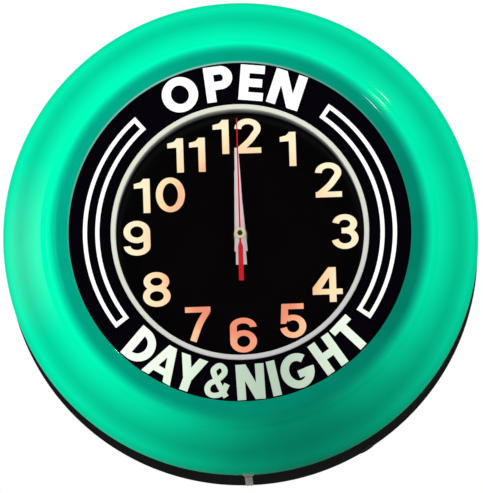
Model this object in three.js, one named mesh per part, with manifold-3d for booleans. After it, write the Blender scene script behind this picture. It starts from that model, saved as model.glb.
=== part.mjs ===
// Round wall advertising clock: a black steel pan, a moulded green rim lit by a ring tube, a lettered
// panel, a sunk dial and a motor movement that drives three hands through a gear train.
//
// Millimetres. +X is right, +Z is up and +Y points into the wall, so the front faces -Y. The origin is
// the middle of the back, on the wall. A "depth" is a distance in front of the wall, which is -Y.
// Names ending in _FRONT, _BACK and _AT are depths.

import * as THREE from "three";
import { mergeVertices } from "three/addons/utils/BufferGeometryUtils.js";
import Module from "manifold-3d";

const wasm = await Module();
wasm.setup();

// ---------------------------------------------------------------- fits
const TOUCH = 0.3; // gap between pieces that rest on each other
const RUN = 0.2; // radial clearance of a shaft in its hole
const SCREW_FIT = 0.4; // radial clearance of a screw in its hole

// ---------------------------------------------------------------- overall sizes
const DIAL_RADIUS = 132.6; // clear radius of the sunk dial
const LETTER_BAND = 49.4; // width of the lettered band round the dial
const RIM_WIDTH = 72; // from the rim's opening to its outer edge
const PAN_DEPTH = 100; // steel pan showing behind the rim
const SKIRT_DEPTH = 28; // the rim's straight outer edge
const RIM_RISE = 32; // from the front of that edge to the rim's lip
const DIAL_SINK = 24; // the dial lies this far behind the panel

const OPENING_RADIUS = DIAL_RADIUS + LETTER_BAND;
const RIM_RADIUS = OPENING_RADIUS + RIM_WIDTH;
const SKIRT_FRONT = PAN_DEPTH + SKIRT_DEPTH;
const LIP_FRONT = SKIRT_FRONT + RIM_RISE;

// ---------------------------------------------------------------- rim
const RIM_WALL = 3;
const FLANGE_WIDTH = 15; // flat flange that holds the panel
const STEP_WIDTH = 6; // from the flange down to the bright band
const STEP_FALL = 12;
const BAND_WIDTH = 13;
const BAND_FALL = 3.5;
const SLOPE_FALL = 8.5; // from the band down to the cove
const COVE_WIDTH = 6;
const COVE_FALL = 3;
const SHOULDER_RUN = 10; // from the cove out to the rounded shoulder
const SHOULDER_WIDTH = 6; // rounded outer shoulder
const SLOPE_WIDTH =
  RIM_WIDTH - FLANGE_WIDTH - STEP_WIDTH - BAND_WIDTH - COVE_WIDTH - SHOULDER_RUN - SHOULDER_WIDTH;

// ---------------------------------------------------------------- pan
const PAN_WALL = 1.2;
const PAN_INSET = 1; // the pan's side lies this far inside the rim's outer edge
const PAN_CORNER = 14;
const COLLAR_GAP = 0.5; // between the pan's collar and the rim's skirt
const COLLAR_LENGTH = SKIRT_DEPTH - SHOULDER_WIDTH; // up to where the skirt starts to curve
const COVER_RADIUS = 74;
const COVER_THICKNESS = 2;
const SEAT_LAP = 12; // width of the ledge behind the cover's edge
const COVER_SCREW_INSET = 6;
const COVER_SCREW_RADIUS = 2;
const COVER_SCREW_HEAD = 4;
const COVER_SCREW_LENGTH = 9;

const PAN_RADIUS = RIM_RADIUS - PAN_INSET;
const COLLAR_RADIUS = RIM_RADIUS - RIM_WALL - COLLAR_GAP;
const COLLAR_FRONT = PAN_DEPTH + COLLAR_LENGTH;
const SEAT_BACK = COVER_THICKNESS + TOUCH;

// ---------------------------------------------------------------- hanger, inlet and rim fixings
const HANGER_FROM_EDGE = 63; // from the pan's edge down to the keyhole
const HANGER_WIDTH = 60;
const HANGER_TALL = 44;
const HANGER_THICKNESS = 2.5;
const KEYHOLE_RADIUS = 6;
const KEYHOLE_SLOT = 3; // half the width of the slot above the hole
const KEYHOLE_RISE = 12;
const INLET_ANGLE = -60;
const INLET_AT = 30;
const INLET_RADIUS = 7;
const INLET_BORE = 4;
const RIM_SCREW_ANGLES = { bezel_screw_left: 130, bezel_screw_right: 50 };
const RIM_SCREW_RADIUS = 1.9;
const RIM_SCREW_HEAD = 4;
const RIM_SCREW_HEAD_RISE = 1.6;
const RIM_SCREW_LENGTH = 8;
const RIM_SCREW_FROM_EDGE = 7; // in front of the skirt's back edge
const CLIP_WIDTH = 8;
const CLIP_HEAD_WIDTH = 12;
const CLIP_THICKNESS = 1.6;
const CLIP_HEAD_LENGTH = 9;
const CLIP_REACH = 80; // along the pan from the rim's edge
const CLIP_SCREW_BACK = 13; // the clip's screw lies this far behind the rim's edge

const HANGER_HEIGHT = PAN_RADIUS - HANGER_FROM_EDGE;

// ---------------------------------------------------------------- panel and dial
const PANEL_THICKNESS = 3;
const PANEL_LAP = 10; // the panel reaches this far behind the flange
const WELL_WALL = 2;
const WELL_LIP_WIDTH = 5.4;
const WELL_LIP_RISE = 2.6;
const DIAL_THICKNESS = 1.5;
const DIAL_LAP = 7.4;

const PANEL_FRONT = LIP_FRONT - RIM_WALL - TOUCH;
const PANEL_BACK = PANEL_FRONT - PANEL_THICKNESS;
const PANEL_RADIUS = OPENING_RADIUS + PANEL_LAP;
const WELL_OUTER = DIAL_RADIUS + WELL_WALL;
const DIAL_FRONT = PANEL_FRONT - DIAL_SINK;
const DIAL_BACK = DIAL_FRONT - DIAL_THICKNESS;

// ---------------------------------------------------------------- lamp
const TUBE_OUTSIDE_PANEL = 14; // from the panel's edge out to the ring tube's centre line
const TUBE_RADIUS = 6.5;
const TUBE_CLEARANCE = 4.5; // from the glass to the rim in front of it
const TUBE_GAP_ANGLE = -79; // middle of the gap between the tube's ends
const TUBE_GAP = 52; // along the ring
const TUBE_BEND = 15;
const TRAY_WALL = 1.2;
const TRAY_BEHIND_TUBE = 10;
const TRAY_INNER_GAP = 5; // between the dial's edge and the tray
const TRAY_HOLE_GAP = 3; // round the glass where it passes the tray
const BRACKET_WIDTH = 22;
const BRACKET_WALL = 1.8;
const BRACKET_LEG = 15;
const BRACKET_FOOT = 14;
const SUPPORT_WIDTH = 10;
const PANEL_POST_RADIUS = 3;
const BOOT_WALL = 3;
const BOOT_GRIP = 9;
const BOOT_LENGTH = 26;
const HV_WIRE_RADIUS = 2.6;

const TUBE_RING = PANEL_RADIUS + TUBE_OUTSIDE_PANEL;
const BAND_BACK = LIP_FRONT - STEP_FALL - BAND_FALL - RIM_WALL;
const TUBE_AT = BAND_BACK - TUBE_CLEARANCE - TUBE_RADIUS;
const TRAY_FRONT = TUBE_AT - TUBE_RADIUS - TRAY_BEHIND_TUBE;
const TRAY_BACK = TRAY_FRONT - TRAY_WALL;
const BOOT_FRONT = TRAY_BACK - TOUCH;
const BOOT_BACK = BOOT_FRONT - BOOT_LENGTH;
const TUBE_END = BOOT_FRONT - BOOT_GRIP;

// ---------------------------------------------------------------- transformer and wiring
const TRANSFORMER = { x: 35, z: -130, width: 104, tall: 58, deep: 52, corner: 8 };
const TERMINAL_RADIUS = 7;
const TERMINAL_LENGTH = 13;
const TERMINAL_SPREAD = 50;
const BLOCK = { x: -60, z: -118, width: 42, tall: 20, deep: 16 };
const LEAD_RADIUS = 1.8;
const POST_RADIUS = 4;
const POST_FROM_EDGE = 12.6; // from the clear dial's edge in to the posts behind it
const POST_RING = DIAL_RADIUS - POST_FROM_EDGE;

// ---------------------------------------------------------------- movement
const PLATE_THICKNESS = 2;
const PLATE_BACK_AT = 33.4; // the back plate's front lies this far behind the dial's back
const PILLAR_RADIUS = 3;
const BUSH_RADIUS = 6.5;
const BUSH_WALL = 1.2;
const NUT_WALL = 2.5; // from the bush out to the nut's corners
const NUT_THICKNESS = 3;
const HOUR_TUBE_WALL = 1.4;
const SECOND_ARBOR_RADIUS = 1.1;
const ARBOR_RADIUS = 1.5;
const THIRD_ARBOR_RADIUS = 1;
const WHEEL_THICKNESS = 2;
const PINION_THICKNESS = 3;
const MOTION_SPACING = 20; // centre to minute wheel arbor
const TEETH = {
  centre: 48,
  thirdPinion: 6,
  third: 45,
  secondPinion: 6,
  cannon: 8,
  minute: 24,
  minutePinion: 8,
  hour: 32,
  motor: 24,
};
// Share of a wheel's module that its teeth stand out of, and reach into, its pitch circle.
const ADDENDUM = 0.7;
const DEDENDUM = 1.15;
const ARBOR_CLEARANCE = 1.3; // between an arbor and the teeth that turn past it
const MOTOR_CLEARANCE = 3.1; // the same for the motor's thicker arbor
const PLATE_MARGIN = 2;

const moduleOf = (spacing, teeth, mate) => (2 * spacing) / (teeth + mate);
const tipRadius = (spacing, teeth, mate) =>
  moduleOf(spacing, teeth, mate) * (teeth / 2 + ADDENDUM);
const HOUR_TIP = tipRadius(MOTION_SPACING, TEETH.hour, TEETH.minutePinion);
const MINUTE_TIP = tipRadius(MOTION_SPACING, TEETH.minute, TEETH.cannon);
// From the centre to the third arbor, which just clears the hour wheel.
const GOING_SPACING = HOUR_TIP + THIRD_ARBOR_RADIUS + ARBOR_CLEARANCE;
const THIRD_TIP = tipRadius(GOING_SPACING, TEETH.third, TEETH.secondPinion);
const CENTRE_TIP = tipRadius(GOING_SPACING, TEETH.centre, TEETH.thirdPinion);
// From the centre to the motor's arbor, which clears the centre wheel.
const MOTOR_SPACING = CENTRE_TIP + ARBOR_RADIUS + MOTOR_CLEARANCE;

// The wheels' middles, as distances behind the dial's back.
const HOUR_WHEEL_AT = 4.7;
const MINUTE_WHEEL_AT = 9.2;
const CENTRE_WHEEL_AT = 14.7;
const THIRD_WHEEL_AT = 20.7;
const MOTOR_WHEEL_AT = 26.7;
const MOTOR_RADIUS = 14;
const MOTOR_LENGTH = 30;
const FIELD_THICKNESS = 10;
const KNOB_RADIUS = 8;
const KNOB_LENGTH = 13;
const KNOB_RECESS = 1; // behind the cover's outer face
const KNOB_HOLE_RADIUS = 11;

const BUSH_BORE = BUSH_RADIUS - BUSH_WALL;
const HOUR_TUBE_RADIUS = BUSH_BORE - RUN * 2;
const HOUR_TUBE_BORE = HOUR_TUBE_RADIUS - HOUR_TUBE_WALL;
const CANNON_RADIUS = HOUR_TUBE_BORE - RUN;
const CANNON_BORE = SECOND_ARBOR_RADIUS + RUN;
const FRONT_PLATE_FRONT = DIAL_BACK - TOUCH;
const FRONT_PLATE_BACK = FRONT_PLATE_FRONT - PLATE_THICKNESS;
const BACK_PLATE_FRONT = DIAL_BACK - PLATE_BACK_AT;
const BACK_PLATE_BACK = BACK_PLATE_FRONT - PLATE_THICKNESS;

// ---------------------------------------------------------------- hands
// Each hand is a straight taper: its reach and width at the tip, and at the tail.
const HOUR_HAND = { tip: 69, tipWidth: 5, tail: 18.4, tailWidth: 14, lean: -1.45, ahead: 7.5 };
const MINUTE_HAND = { tip: 93, tipWidth: 4.1, tail: 33.4, tailWidth: 11.7, lean: -0.8, ahead: 11.5 };
const SECOND_TIP_CLEARANCE = 8.1; // of the second hand's tip inside the well
const SECOND_TIP = DIAL_RADIUS - SECOND_TIP_CLEARANCE;
const SECOND_HAND = { tip: SECOND_TIP, tipWidth: 1.2, hubWidth: 2, tail: 51, tailWidth: 5.2, ahead: 15.5 };
const SECOND_TAIL_START = 9;
const SECOND_TAIL_FULL = 14;
const SECOND_BOSS = 4.2;
const HAND_THICKNESS = 1.2;
const HUB_RADIUS = 5.7;
const HUB_SOCKET = 3;
const HUB_RISE = 3;

const HOUR_HAND_BACK = DIAL_FRONT + HOUR_HAND.ahead;
const MINUTE_HAND_BACK = DIAL_FRONT + MINUTE_HAND.ahead;
const SECOND_HAND_BACK = DIAL_FRONT + SECOND_HAND.ahead;

// ---------------------------------------------------------------- facets
const RING_FACETS = 48; // the same for every large ring, so that nested rings keep their gaps
const HUB_FACETS = 16;
const ROD_FACETS = 10;

// ---------------------------------------------------------------- solids
const radians = THREE.MathUtils.degToRad;

// Keeps only positions, joins equal ones and drops triangles that shrank to nothing.
function clean(geometry) {
  const bare = geometry.index ? geometry.toNonIndexed() : geometry.clone();
  bare.deleteAttribute("normal");
  bare.deleteAttribute("uv");
  const merged = mergeVertices(bare, 1e-4);
  const kept = [];
  const index = merged.index.array;
  for (let i = 0; i < index.length; i += 3) {
    const [a, b, c] = [index[i], index[i + 1], index[i + 2]];
    if (a !== b && b !== c && c !== a) kept.push(a, b, c);
  }
  merged.setIndex(kept);
  return merged;
}

// Six times the volume that the faces enclose, negative when they point inwards.
function signedVolume(geometry) {
  const at = (i) => new THREE.Vector3().fromBufferAttribute(geometry.attributes.position, i);
  let sum = 0;
  for (let i = 0; i < geometry.index.count; i += 3) {
    const [a, b, c] = [0, 1, 2].map((k) => at(geometry.index.getX(i + k)));
    sum += a.dot(b.cross(c));
  }
  return sum;
}

// A clean geometry whose faces point outwards.
function outward(geometry) {
  const merged = clean(geometry);
  if (signedVolume(merged) < 0) merged.setIndex(Array.from(merged.index.array).reverse());
  return merged;
}

function toSolid(geometry) {
  const ready = outward(geometry);
  return new wasm.Manifold(
    new wasm.Mesh({
      numProp: 3,
      vertProperties: new Float32Array(ready.attributes.position.array),
      triVerts: new Uint32Array(ready.index.array),
    }),
  );
}

function fromSolid(solid) {
  const mesh = solid.getMesh();
  const geometry = new THREE.BufferGeometry();
  geometry.setAttribute("position", new THREE.BufferAttribute(mesh.vertProperties, 3));
  geometry.setIndex(Array.from(mesh.triVerts));
  return geometry;
}

function join(...pieces) {
  return fromSolid(pieces.map(toSolid).reduce((whole, piece) => whole.add(piece)));
}

function cut(body, ...tools) {
  return fromSolid(tools.map(toSolid).reduce((left, tool) => left.subtract(tool), toSolid(body)));
}

// A solid turned about the clock's axis. The outline is a list of [radius, depth].
function turned(outline, facets = RING_FACETS) {
  const points = outline.map(([radius, depth]) => new THREE.Vector2(radius, -depth));
  const open = outline[0][0] === 0 && outline.at(-1)[0] === 0;
  if (!open) points.push(points[0].clone());
  return new THREE.LatheGeometry(points, facets);
}

// A flat shape drawn in X and Z, thickened from one depth to another.
function plate(shape, back, front, facets = HUB_FACETS) {
  const options = { depth: front - back, bevelEnabled: false, curveSegments: facets };
  return new THREE.ExtrudeGeometry(shape, options).translate(0, 0, back).rotateX(Math.PI / 2);
}

function disc(radius, back, front, x = 0, z = 0, facets = HUB_FACETS) {
  const round = [[0, back], [radius, back], [radius, front], [0, front]];
  return turned(round, facets).translate(x, 0, z);
}

function sleeve(inner, outer, back, front, facets = HUB_FACETS) {
  return turned([[inner, back], [outer, back], [outer, front], [inner, front]], facets);
}

// An upright block given by its middle in X and Z and its two depths.
function block(x, z, width, tall, back, front) {
  return new THREE.BoxGeometry(width, front - back, tall).translate(x, -(front + back) / 2, z);
}

function polygon(points) {
  return new THREE.Shape(points.map(([x, z]) => new THREE.Vector2(x, z)));
}

function roundedRectangle(x, z, width, tall, corner) {
  const [left, right] = [x - width / 2, x + width / 2];
  const [low, high] = [z - tall / 2, z + tall / 2];
  const shape = new THREE.Shape();
  shape.absarc(right - corner, high - corner, corner, 0, Math.PI / 2);
  shape.absarc(left + corner, high - corner, corner, Math.PI / 2, Math.PI);
  shape.absarc(left + corner, low + corner, corner, Math.PI, 1.5 * Math.PI);
  shape.absarc(right - corner, low + corner, corner, 1.5 * Math.PI, 2 * Math.PI);
  return shape;
}

// A round bar along any straight line.
function bar(from, to, radius, facets = ROD_FACETS) {
  const along = new THREE.Vector3().subVectors(to, from);
  const turn = new THREE.Quaternion().setFromUnitVectors(
    new THREE.Vector3(0, 1, 0),
    along.clone().normalize(),
  );
  const middle = new THREE.Vector3().addVectors(from, to).multiplyScalar(0.5);
  return new THREE.CylinderGeometry(radius, radius, along.length(), facets)
    .applyQuaternion(turn)
    .translate(middle.x, middle.y, middle.z);
}

// A wire or glass tube along a smooth curve.
function swept(curve, radius, sides, steps) {
  const section = new THREE.Shape();
  section.absarc(0, 0, radius, 0, 2 * Math.PI);
  const options = { steps, bevelEnabled: false, extrudePath: curve, curveSegments: sides / 2 };
  return new THREE.ExtrudeGeometry(section, options);
}

// The point at an angle round the clock, anticlockwise from the right as seen from the front.
function onRing(radius, degrees, depth = 0) {
  const angle = radians(degrees);
  return new THREE.Vector3(radius * Math.cos(angle), -depth, radius * Math.sin(angle));
}

// Turns a piece modelled at the right-hand side to an angle round the clock.
function aroundClock(geometry, degrees) {
  return geometry.rotateY(-radians(degrees));
}

// ---------------------------------------------------------------- gears
// Wheels and pinions with tapered teeth. The tooth is thinner than its space, as clock teeth are.
const TOOTH_AT_ROOT = 0.52; // share of the pitch angle
const TOOTH_AT_TIP = 0.16;

function gear(teeth, spacing, mate, back, front, turn = 0) {
  const tip = tipRadius(spacing, teeth, mate);
  const root = moduleOf(spacing, teeth, mate) * (teeth / 2 - DEDENDUM);
  const pitch = (2 * Math.PI) / teeth;
  const points = [];
  for (let tooth = 0; tooth < teeth; tooth += 1) {
    const middle = (tooth + turn) * pitch;
    const corners = [
      [root, -TOOTH_AT_ROOT / 2],
      [tip, -TOOTH_AT_TIP / 2],
      [tip, TOOTH_AT_TIP / 2],
      [root, TOOTH_AT_ROOT / 2],
    ];
    for (const [radius, share] of corners) {
      const angle = middle + share * pitch;
      points.push([radius * Math.cos(angle), radius * Math.sin(angle)]);
    }
  }
  return plate(polygon(points), back, front);
}

// How far, in teeth, a gear turns at rest so that a space of it meets a tooth of its mate. Each gear
// has a tooth at the right when unturned. `towards` is the direction from this gear to its mate.
function spaceTowards(teeth, towards) {
  const pitch = 360 / teeth;
  return towards / pitch - 0.5;
}

function toothTowards(teeth, towards) {
  return towards / (360 / teeth);
}

const UP = 90;
const DOWN = 270;
const RIGHT = 0;
const LEFT = 180;
const THIRDS = [90, 210, 330];
const QUARTERS = [45, 135, 225, 315];
const centredAt = (behindDial, thickness) => [
  DIAL_BACK - behindDial - thickness / 2,
  DIAL_BACK - behindDial + thickness / 2,
];

// ---------------------------------------------------------------- materials
const finish = (color, roughness, metalness) => ({ color, roughness, metalness });
const BLACK_ENAMEL = finish(0x16181a, 0.45, 0.3);
const GREEN_PLASTIC = finish(0x12c48a, 0.3, 0);
const BLACK_ACRYLIC = finish(0x08080a, 0.15, 0);
const CREAM_PLASTIC = finish(0xd2d6c8, 0.35, 0);
const DIAL_BLACK = finish(0x0a080a, 0.3, 0);
const HAND_GREY = finish(0xc8c4c4, 0.45, 0.2);
const HAND_RED = finish(0xb40a1c, 0.4, 0);
const BRASS = finish(0xb98e3c, 0.3, 0.9);
const NICKEL = finish(0xb4b6b4, 0.3, 0.9);
const STEEL = finish(0x8c9094, 0.4, 0.9);
const WHITE_ENAMEL = finish(0xe6e8e4, 0.5, 0);
const TUBE_GLASS = finish(0xd8fff0, 0.1, 0);
const RUBBER = finish(0x141414, 0.8, 0);
const WIRE = finish(0x6c2a20, 0.6, 0);
const PORCELAIN = finish(0xe4dfd2, 0.3, 0);
const COPPER_TAPE = finish(0x9a6a30, 0.6, 0.1);
const PHENOLIC = finish(0x2e2018, 0.5, 0);

const clock = new THREE.Group();

function add(name, geometry, look) {
  const mesh = new THREE.Mesh(outward(geometry), new THREE.MeshStandardMaterial(look));
  mesh.name = name;
  clock.add(mesh);
}

// ---------------------------------------------------------------- sheet and moulded walls
// Closes a thin wall: the outline of one face, then the same outline moved in by the wall.
function walled(outline, wall) {
  const moved = outline.map(([radius, depth], i) => {
    const before = outline[Math.max(i - 1, 0)];
    const after = outline[Math.min(i + 1, outline.length - 1)];
    const into = new THREE.Vector2(radius - before[0], depth - before[1]);
    const out = new THREE.Vector2(after[0] - radius, after[1] - depth);
    if (i === 0) into.copy(out);
    if (i === outline.length - 1) out.copy(into);
    into.normalize();
    out.normalize();
    const normal = new THREE.Vector2(-(into.y + out.y), into.x + out.x).normalize();
    const reach = wall / (normal.x * -out.y + normal.y * out.x);
    return [radius + normal.x * reach, depth + normal.y * reach];
  });
  return [...outline, ...moved.reverse()];
}

// Points of an arc from one angle to another, in degrees, in the plane of radius and depth.
function arc(centreRadius, centreDepth, radius, from, to, steps) {
  return Array.from({ length: steps + 1 }, (_, i) => {
    const angle = radians(from + ((to - from) * i) / steps);
    return [centreRadius + radius * Math.cos(angle), centreDepth + radius * Math.sin(angle)];
  });
}

// ---------------------------------------------------------------- back of the clock
function keyhole(height, back, front) {
  const round = disc(KEYHOLE_RADIUS, back, front, 0, height, 16);
  const slot = block(0, height + KEYHOLE_RISE / 2, 2 * KEYHOLE_SLOT, KEYHOLE_RISE, back, front);
  return join(round, slot);
}

function rearPan() {
  const outline = [
    [COVER_RADIUS - SEAT_LAP, SEAT_BACK],
    [COVER_RADIUS + TOUCH, SEAT_BACK],
    [COVER_RADIUS + TOUCH, 0],
    ...arc(PAN_RADIUS - PAN_CORNER, PAN_CORNER, PAN_CORNER, -90, 0, 3),
    [PAN_RADIUS, PAN_DEPTH - PAN_WALL],
    [COLLAR_RADIUS, PAN_DEPTH],
    [COLLAR_RADIUS, COLLAR_FRONT],
  ];
  const shell = turned(walled(outline, PAN_WALL));
  const coverHoles = coverScrewPlaces().map(({ x, z }) =>
    disc(COVER_SCREW_RADIUS + SCREW_FIT, 0, COVER_SCREW_LENGTH, x, z, ROD_FACETS),
  );
  const rimHoles = [...Object.values(RIM_SCREW_ANGLES)].map((angle) =>
    aroundClock(rimScrewHole(), angle),
  );
  return cut(
    shell,
    ...coverHoles,
    ...rimHoles,
    keyhole(HANGER_HEIGHT, -1, PAN_WALL + 1),
    bar(
      onRing(PAN_RADIUS - 3 * PAN_WALL, INLET_ANGLE, INLET_AT),
      onRing(PAN_RADIUS + PAN_WALL, INLET_ANGLE, INLET_AT),
      INLET_RADIUS,
      16,
    ),
    aroundClock(clipScrewHole(), DOWN),
  );
}

function coverScrewPlaces() {
  return THIRDS.map((angle) => onRing(COVER_RADIUS - COVER_SCREW_INSET, angle));
}

function serviceCover() {
  const sheet = disc(COVER_RADIUS, 0, COVER_THICKNESS, 0, 0, RING_FACETS);
  const sinks = coverScrewPlaces().map(({ x, z }) => {
    const wide = COVER_SCREW_HEAD + SCREW_FIT;
    const narrow = COVER_SCREW_RADIUS + SCREW_FIT;
    const cone = [
      [0, -1],
      [wide, -1],
      [wide, 0],
      [narrow, COVER_THICKNESS],
      [narrow, COVER_THICKNESS + 1],
      [0, COVER_THICKNESS + 1],
    ];
    return turned(cone, ROD_FACETS).translate(x, 0, z);
  });
  const access = disc(KNOB_HOLE_RADIUS, -1, COVER_THICKNESS + 1, 0, -MOTION_SPACING);
  return cut(sheet, access, ...sinks);
}

function coverScrew(place) {
  const outline = [
    [0, TOUCH],
    [COVER_SCREW_HEAD, TOUCH],
    [COVER_SCREW_RADIUS, COVER_THICKNESS],
    [COVER_SCREW_RADIUS, COVER_SCREW_LENGTH],
    [0, COVER_SCREW_LENGTH],
  ];
  return turned(outline, ROD_FACETS).translate(place.x, 0, place.z);
}

function hangerPlate() {
  const back = PAN_WALL + TOUCH;
  const front = back + HANGER_THICKNESS;
  const sheet = plate(
    roundedRectangle(0, HANGER_HEIGHT, HANGER_WIDTH, HANGER_TALL, 6),
    back,
    front,
    3,
  );
  return cut(sheet, keyhole(HANGER_HEIGHT, back - 1, front + 1));
}

// A rubber ring in the pan's side. It is turned about its own axis, then laid along a radius.
function inletGrommet() {
  const inner = PAN_RADIUS - PAN_WALL;
  const neck = INLET_RADIUS - TOUCH;
  const flange = INLET_RADIUS + 3;
  const outline = [
    [INLET_BORE, inner - 4],
    [flange, inner - 4],
    [flange, inner - 2],
    [neck, inner - 1],
    [neck, PAN_RADIUS + TOUCH],
    [flange - 1, PAN_RADIUS + TOUCH],
    [flange - 1.5, PAN_RADIUS + 1.8],
    [INLET_BORE, PAN_RADIUS + 1.8],
  ];
  const ring = turned(outline, 16).rotateZ(Math.PI / 2).translate(0, -INLET_AT, 0);
  return aroundClock(ring, INLET_ANGLE);
}

// ---------------------------------------------------------------- rim
// The outer face from the lip out to the skirt's back edge.
function rimOutline() {
  const flangeEdge = OPENING_RADIUS + FLANGE_WIDTH;
  const bandStart = flangeEdge + STEP_WIDTH;
  const bandEnd = bandStart + BAND_WIDTH;
  const slopeEnd = bandEnd + SLOPE_WIDTH;
  const bandAt = LIP_FRONT - STEP_FALL;
  const slopeAt = bandAt - BAND_FALL;
  const coveAt = slopeAt - SLOPE_FALL;
  const shoulder = RIM_RADIUS - SHOULDER_WIDTH;
  return [
    [OPENING_RADIUS, LIP_FRONT],
    [flangeEdge, LIP_FRONT],
    [bandStart, bandAt],
    [bandEnd, slopeAt],
    [slopeEnd, coveAt],
    [slopeEnd + COVE_WIDTH, coveAt - COVE_FALL],
    ...arc(shoulder, SKIRT_FRONT - SHOULDER_WIDTH, SHOULDER_WIDTH, 90, 0, 3),
    [RIM_RADIUS, PAN_DEPTH],
  ];
}

const RIM_SCREW_AT = PAN_DEPTH + RIM_SCREW_FROM_EDGE;

function rimScrewHole() {
  return bar(
    new THREE.Vector3(RIM_RADIUS - RIM_SCREW_LENGTH - 2, -RIM_SCREW_AT, 0),
    new THREE.Vector3(RIM_RADIUS + 2, -RIM_SCREW_AT, 0),
    RIM_SCREW_RADIUS + SCREW_FIT,
  );
}

function bezel() {
  const shell = turned(walled(rimOutline(), -RIM_WALL));
  const holes = Object.values(RIM_SCREW_ANGLES).map((angle) => aroundClock(rimScrewHole(), angle));
  return cut(shell, ...holes);
}

// A pan-head screw along a radius, with its head outside.
function radialScrew(seat, depth, length) {
  const outline = [
    [0, seat - length],
    [RIM_SCREW_RADIUS, seat - length],
    [RIM_SCREW_RADIUS, seat],
    [RIM_SCREW_HEAD, seat],
    [RIM_SCREW_HEAD * 0.8, seat + RIM_SCREW_HEAD_RISE],
    [0, seat + RIM_SCREW_HEAD_RISE],
  ];
  return turned(outline, ROD_FACETS).rotateZ(Math.PI / 2).translate(0, -depth, 0);
}

// ---------------------------------------------------------------- clip under the rim
const CLIP_SEAT = PAN_RADIUS + TOUCH + CLIP_THICKNESS;
const CLIP_SCREW_AT = PAN_DEPTH - CLIP_SCREW_BACK;

function clipScrewHole() {
  return bar(
    new THREE.Vector3(PAN_RADIUS - RIM_SCREW_LENGTH, -CLIP_SCREW_AT, 0),
    new THREE.Vector3(RIM_RADIUS + 2 * CLIP_THICKNESS, -CLIP_SCREW_AT, 0),
    RIM_SCREW_RADIUS + SCREW_FIT,
  );
}

// A sprung strap: its tail is screwed to the pan and its wider head holds the rim's skirt.
function bottomClip() {
  const low = PAN_RADIUS + TOUCH;
  const high = RIM_RADIUS + TOUCH;
  const tailEnd = PAN_DEPTH - CLIP_REACH;
  const headEnd = PAN_DEPTH + CLIP_HEAD_LENGTH;
  const side = polygon([
    [low, tailEnd],
    [low, PAN_DEPTH - 5],
    [high, PAN_DEPTH - 2],
    [high, headEnd],
    [high + CLIP_THICKNESS, headEnd],
    [high + CLIP_THICKNESS, PAN_DEPTH - 2.5],
    [low + CLIP_THICKNESS, PAN_DEPTH - 5.5],
    [low + CLIP_THICKNESS, tailEnd],
  ]);
  // Drawn as radius across and depth up, so it is laid with its depth along -Y.
  const flat = new THREE.ExtrudeGeometry(side, { depth: CLIP_HEAD_WIDTH, bevelEnabled: false });
  flat.translate(0, 0, -CLIP_HEAD_WIDTH / 2).rotateX(Math.PI);
  const trim = [-1, 1].map((way) => {
    const beyond = CLIP_WIDTH / 2 + CLIP_HEAD_WIDTH / 2;
    const length = CLIP_REACH + 2;
    const middle = -(tailEnd - 1 + length / 2);
    return new THREE.BoxGeometry(4 * CLIP_WIDTH, length, CLIP_HEAD_WIDTH)
      .translate(RIM_RADIUS, middle, way * beyond);
  });
  return aroundClock(cut(flat, ...trim, clipScrewHole()), DOWN);
}

// ---------------------------------------------------------------- panel, well and dial
function letteringPanel() {
  return sleeve(WELL_OUTER + TOUCH, PANEL_RADIUS, PANEL_BACK, PANEL_FRONT, RING_FACETS);
}

function wellRing() {
  const back = DIAL_FRONT + TOUCH;
  const front = PANEL_FRONT + TOUCH;
  return turned([
    [DIAL_RADIUS, back],
    [WELL_OUTER, back],
    [WELL_OUTER, front],
    [DIAL_RADIUS + WELL_LIP_WIDTH, front],
    [DIAL_RADIUS + WELL_LIP_WIDTH, front + WELL_LIP_RISE / 2],
    [DIAL_RADIUS + WELL_LIP_WIDTH / 2, front + WELL_LIP_RISE],
    [DIAL_RADIUS, front + WELL_LIP_RISE / 2],
  ]);
}

function dialPlate() {
  const hole = BUSH_RADIUS + TOUCH;
  return sleeve(hole, DIAL_RADIUS + DIAL_LAP, DIAL_BACK, DIAL_FRONT, RING_FACETS);
}

const PANEL_POST_RING = OPENING_RADIUS + PANEL_LAP / 2;

// ---------------------------------------------------------------- lamp
// Half the angle, along the ring, between the tube's two legs.
const TUBE_HALF_GAP = THREE.MathUtils.radToDeg(TUBE_GAP / 2 / TUBE_RING);
const TUBE_BEND_SPAN = THREE.MathUtils.radToDeg(TUBE_BEND / TUBE_RING);

function tubePath() {
  const start = TUBE_GAP_ANGLE + TUBE_HALF_GAP;
  const end = TUBE_GAP_ANGLE + 360 - TUBE_HALF_GAP;
  const legMiddle = (TUBE_AT - TUBE_BEND + TUBE_END) / 2;
  const bend = (degrees, way) =>
    [0, 30, 60].map((turn) => {
      const along = way * TUBE_BEND_SPAN * (1 - Math.cos(radians(turn)));
      const depth = TUBE_AT - TUBE_BEND * (1 - Math.sin(radians(turn)));
      return onRing(TUBE_RING, degrees + along, depth);
    });
  const ring = Array.from({ length: 41 }, (_, i) => {
    const from = start + TUBE_BEND_SPAN;
    const to = end - TUBE_BEND_SPAN;
    return onRing(TUBE_RING, from + ((to - from) * i) / 40, TUBE_AT);
  });
  return new THREE.CatmullRomCurve3(
    [
      onRing(TUBE_RING, start, TUBE_END),
      onRing(TUBE_RING, start, legMiddle),
      ...bend(start, 1),
      ...ring,
      ...bend(end, -1).reverse(),
      onRing(TUBE_RING, end, legMiddle),
      onRing(TUBE_RING, end, TUBE_END),
    ],
    false,
    "centripetal",
  );
}

const TUBE_LEGS = {
  left: onRing(TUBE_RING, TUBE_GAP_ANGLE - TUBE_HALF_GAP),
  right: onRing(TUBE_RING, TUBE_GAP_ANGLE + TUBE_HALF_GAP),
};

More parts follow.
